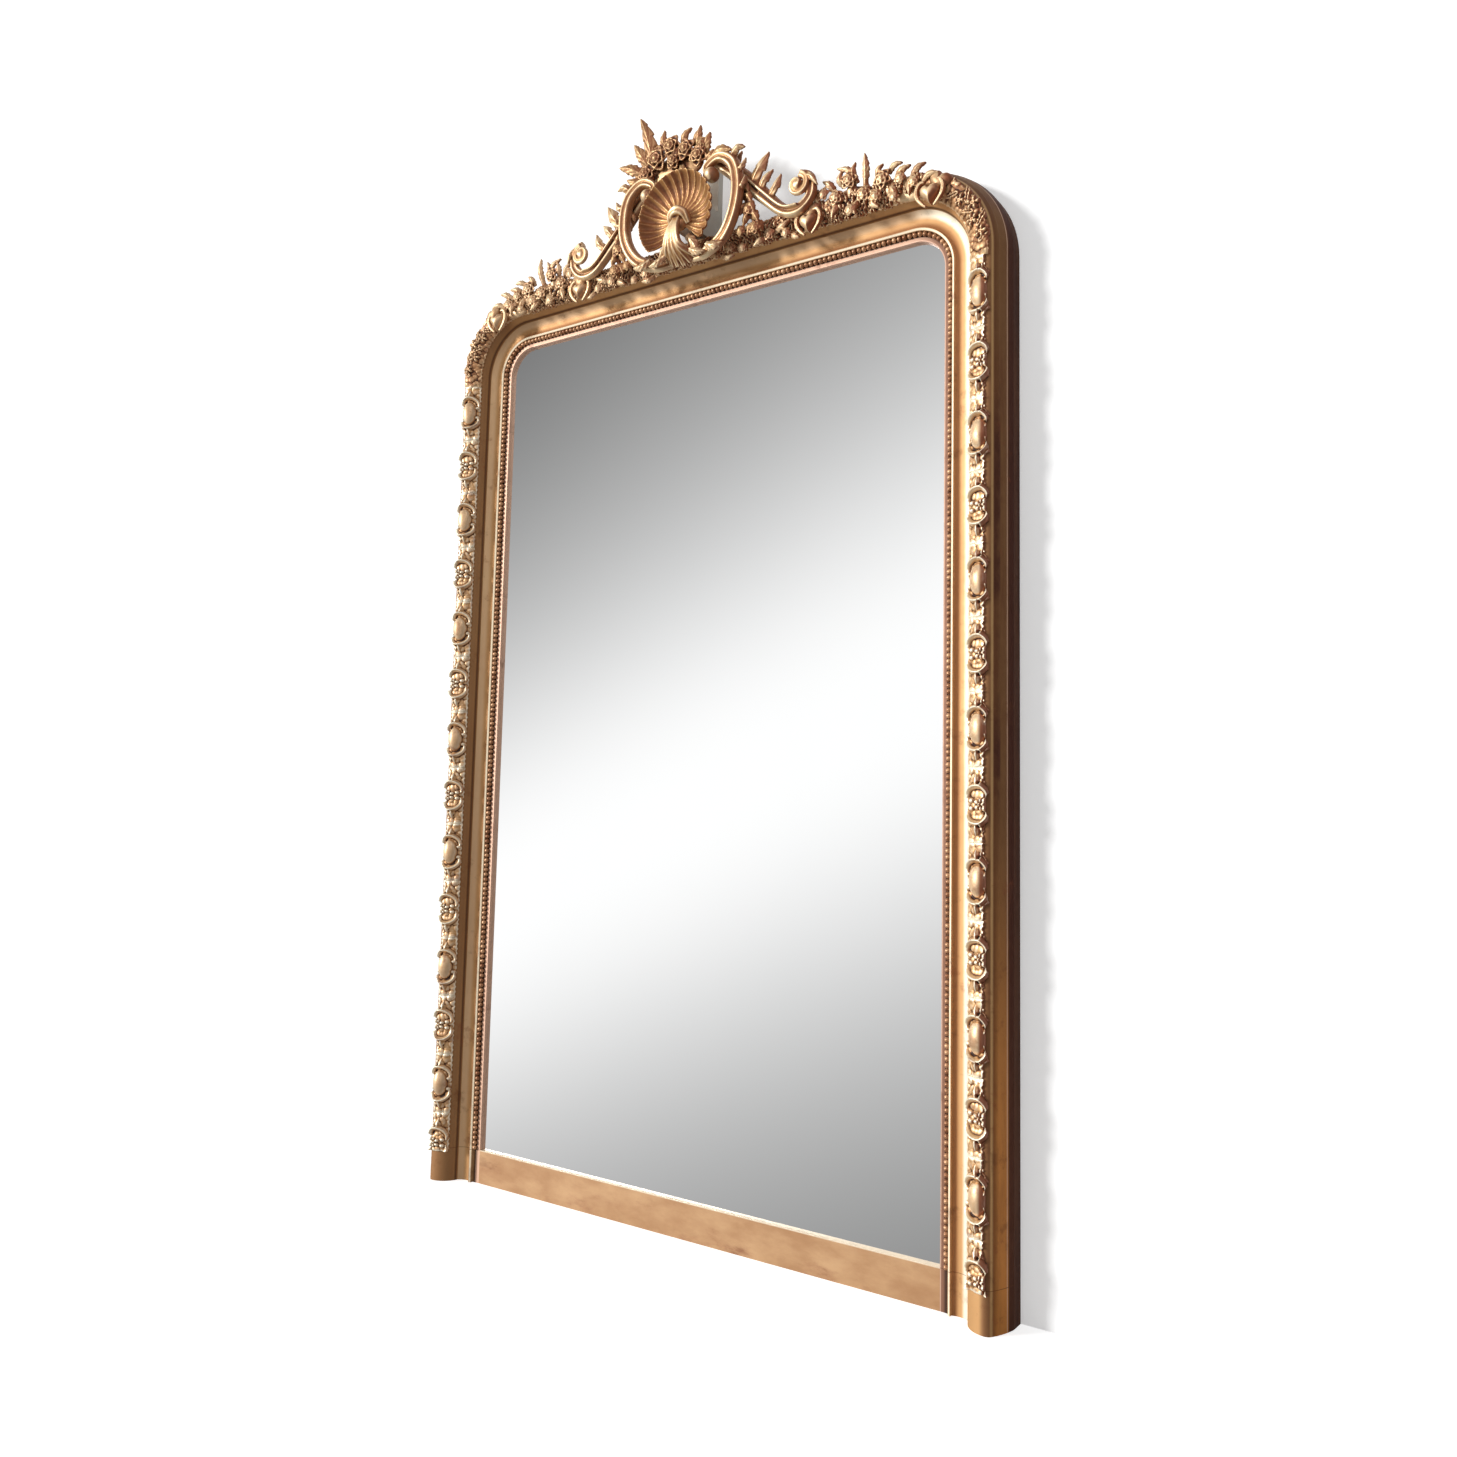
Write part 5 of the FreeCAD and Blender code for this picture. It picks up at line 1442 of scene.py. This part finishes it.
class MIRROR_OT_add_corners(bpy.types.Operator):
    """Press the leaves and flowers of the corners and of the top band"""
    bl_idname = "mirror.add_corners"
    bl_label = "Corner and top ornament"

    def execute(self, context):
        sizes = context.scene.mirror_settings
        # darker tones than the stiles' gilding: painted shade on the top band and corners
        coat = gilt_carving("band_gilding", paint(240, 212, 170), paint(192, 142, 92),
                            paint(118, 72, 40), 1.3, 0.8)
        step = sizes.relief_step * 1000 * 1.0
        last = sizes.motif_first * 1000 + 13.5 * sizes.motif_pitch * 1000
        end = TOP_START + STRAIGHT_ACROSS
        for side in ("left", "right"):
            for name, start, stop, draw in (
                    ("corner_ornament_", last, TOP_START, corner_draw),
                    ("top_ornament_", TOP_START, end, top_draw)):
                mesh = relief_mesh(name + side, start, stop, draw, step, side == "left")
                finish_piece(reduced(mesh, 0.5), coat, "gilt_carving", name + side)
        carve_pair("spray_", spray_parts(), coat, "top_ornament_", sizes.carving_step)
        return {"FINISHED"}


class MIRROR_OT_add_crest(bpy.types.Operator):
    """Carve the shell, scrolls, garlands, roses and leaves of the crest"""
    bl_idname = "mirror.add_crest"
    bl_label = "Crest"

    def execute(self, context):
        step = context.scene.mirror_settings.carving_step
        coat = gilt_carving("crest_gilding", paint(250, 226, 184),
                            paint(206, 158, 102), paint(146, 96, 54), 0.9, 0.85)
        # darker copy of the crest gilding: painted shade on the roses, leaves and
        # garlands
        painted_shade_gilding = gilt_carving("leaf_gilding", paint(226, 186, 134),
                            paint(142, 96, 56), paint(78, 46, 24), 1.0, 0.75)
        fan = gilt_carving("shell_gilding", paint(236, 200, 146),
                           paint(208, 156, 96), paint(170, 114, 62), 0.45, 0.6)
        carve("shell", shell_parts(), fan, "shell", step)
        carve("drape", drape_parts(), coat, "drape", step)
        for name, build, tint in (("c_scroll_", c_scroll_parts, coat),
                                  ("s_scroll_", s_scroll_parts, coat),
                                  ("garland_", garland_parts, painted_shade_gilding)):
            carve_pair(name, build(), tint, name, step)
        carve("bouquet", bouquet_parts(), painted_shade_gilding, "bouquet", step)
        carve("tall_leaf", leaf_set((15, 14, [(-62, 1775), (-66, 1818), (-74, 1852),
                                              (-90, 1885)])), painted_shade_gilding, "tall_leaf", step)
        carve("right_leaves", leaf_set((12, 12, [(44, 1776), (58, 1796), (66, 1812)]),
                                       (12, 12, [(56, 1766), (86, 1772), (112, 1766)]),
                                       (9, 10, [(30, 1796), (40, 1816), (44, 1832)])),
              painted_shade_gilding, "right_leaves", step)
        carve("side_leaves", leaf_set((12, 12, [(-72, 1788), (-88, 1816), (-104, 1840)]),
                                      (12, 12, [(-78, 1776), (-108, 1794),
                                                (-138, 1806)])),
              painted_shade_gilding, "side_leaves", step)
        return {"FINISHED"}


class MIRROR_OT_set_stage(bpy.types.Operator):
    """Set the pale floor and wall, the window light, the lamp and the camera"""
    bl_idname = "mirror.set_stage"
    bl_label = "Stage"

    def execute(self, context):
        pale = stage_finish("pale_wall", 0.80, 0.34)
        ground = stage_finish("pale_floor", 0.80, 0.66)
        wall = 0.0158
        back = flat_board("wall", upright(wall, -6, 6, -0.001, 5), pale)
        floor = flat_board("floor", [(-6, -5, 0), (6, -5, 0), (6, wall, 0),
                                     (-6, wall, 0)], ground)
        back.visible_diffuse = False
        back.visible_shadow = False
        floor.visible_glossy = False
        card = flat_board("card", upright(-4.5, -8, 4, -3, 5), card_finish())
        card.visible_camera = False
        card.visible_diffuse = False
        card.visible_shadow = False
        sun = bpy.data.lights.new("window", "SUN")
        sun.energy = 3.15
        sun.angle = math.radians(13)
        window = make_object("window", sun)
        window.rotation_euler = Vector((0.95, 1.0, -0.30)).to_track_quat(
            "-Z", "Y").to_euler()
        soft_lamp("top", (1.0, -2.4, 3.4), (0.2, 0, 1.0), (1.6, 1.0), 16)
        world = bpy.data.worlds.new("studio")
        context.scene.world = world
        world.use_nodes = True
        sky = world.node_tree.nodes["Background"]
        sky.inputs["Color"].default_value = (1, 1, 1, 1)
        sky.inputs["Strength"].default_value = 0.28
        context.scene.view_settings.view_transform = "Standard"
        place_camera()
        return {"FINISHED"}


STEPS = (MIRROR_OT_finish_frame, MIRROR_OT_add_beads, MIRROR_OT_add_running,
         MIRROR_OT_add_corners, MIRROR_OT_add_crest, MIRROR_OT_set_stage)


class MIRROR_PT_panel(bpy.types.Panel):
    """Sizes and steps of the mirror"""
    bl_label = "Overmantel mirror"
    bl_idname = "MIRROR_PT_panel"
    bl_space_type = "VIEW_3D"
    bl_region_type = "UI"
    bl_category = "Mirror"

    def draw(self, context):
        for name in MirrorSettings.__annotations__:
            self.layout.prop(context.scene.mirror_settings, name)
        for step in STEPS:
            self.layout.operator(step.bl_idname)


CLASSES = (MirrorSettings, *STEPS, MIRROR_PT_panel)


def register():
    for kind in CLASSES:
        bpy.utils.register_class(kind)
    bpy.types.Scene.mirror_settings = bpy.props.PointerProperty(type=MirrorSettings)


def unregister():
    del bpy.types.Scene.mirror_settings
    for kind in reversed(CLASSES):
        bpy.utils.unregister_class(kind)


def main():
    """Finish the frame, add every piece and set the stage."""
    register()
    bpy.ops.mirror.finish_frame()
    bpy.ops.mirror.add_beads()
    bpy.ops.mirror.add_running()
    bpy.ops.mirror.add_corners()
    bpy.ops.mirror.add_crest()
    bpy.ops.mirror.set_stage()


if __name__ == "__main__":
    main()
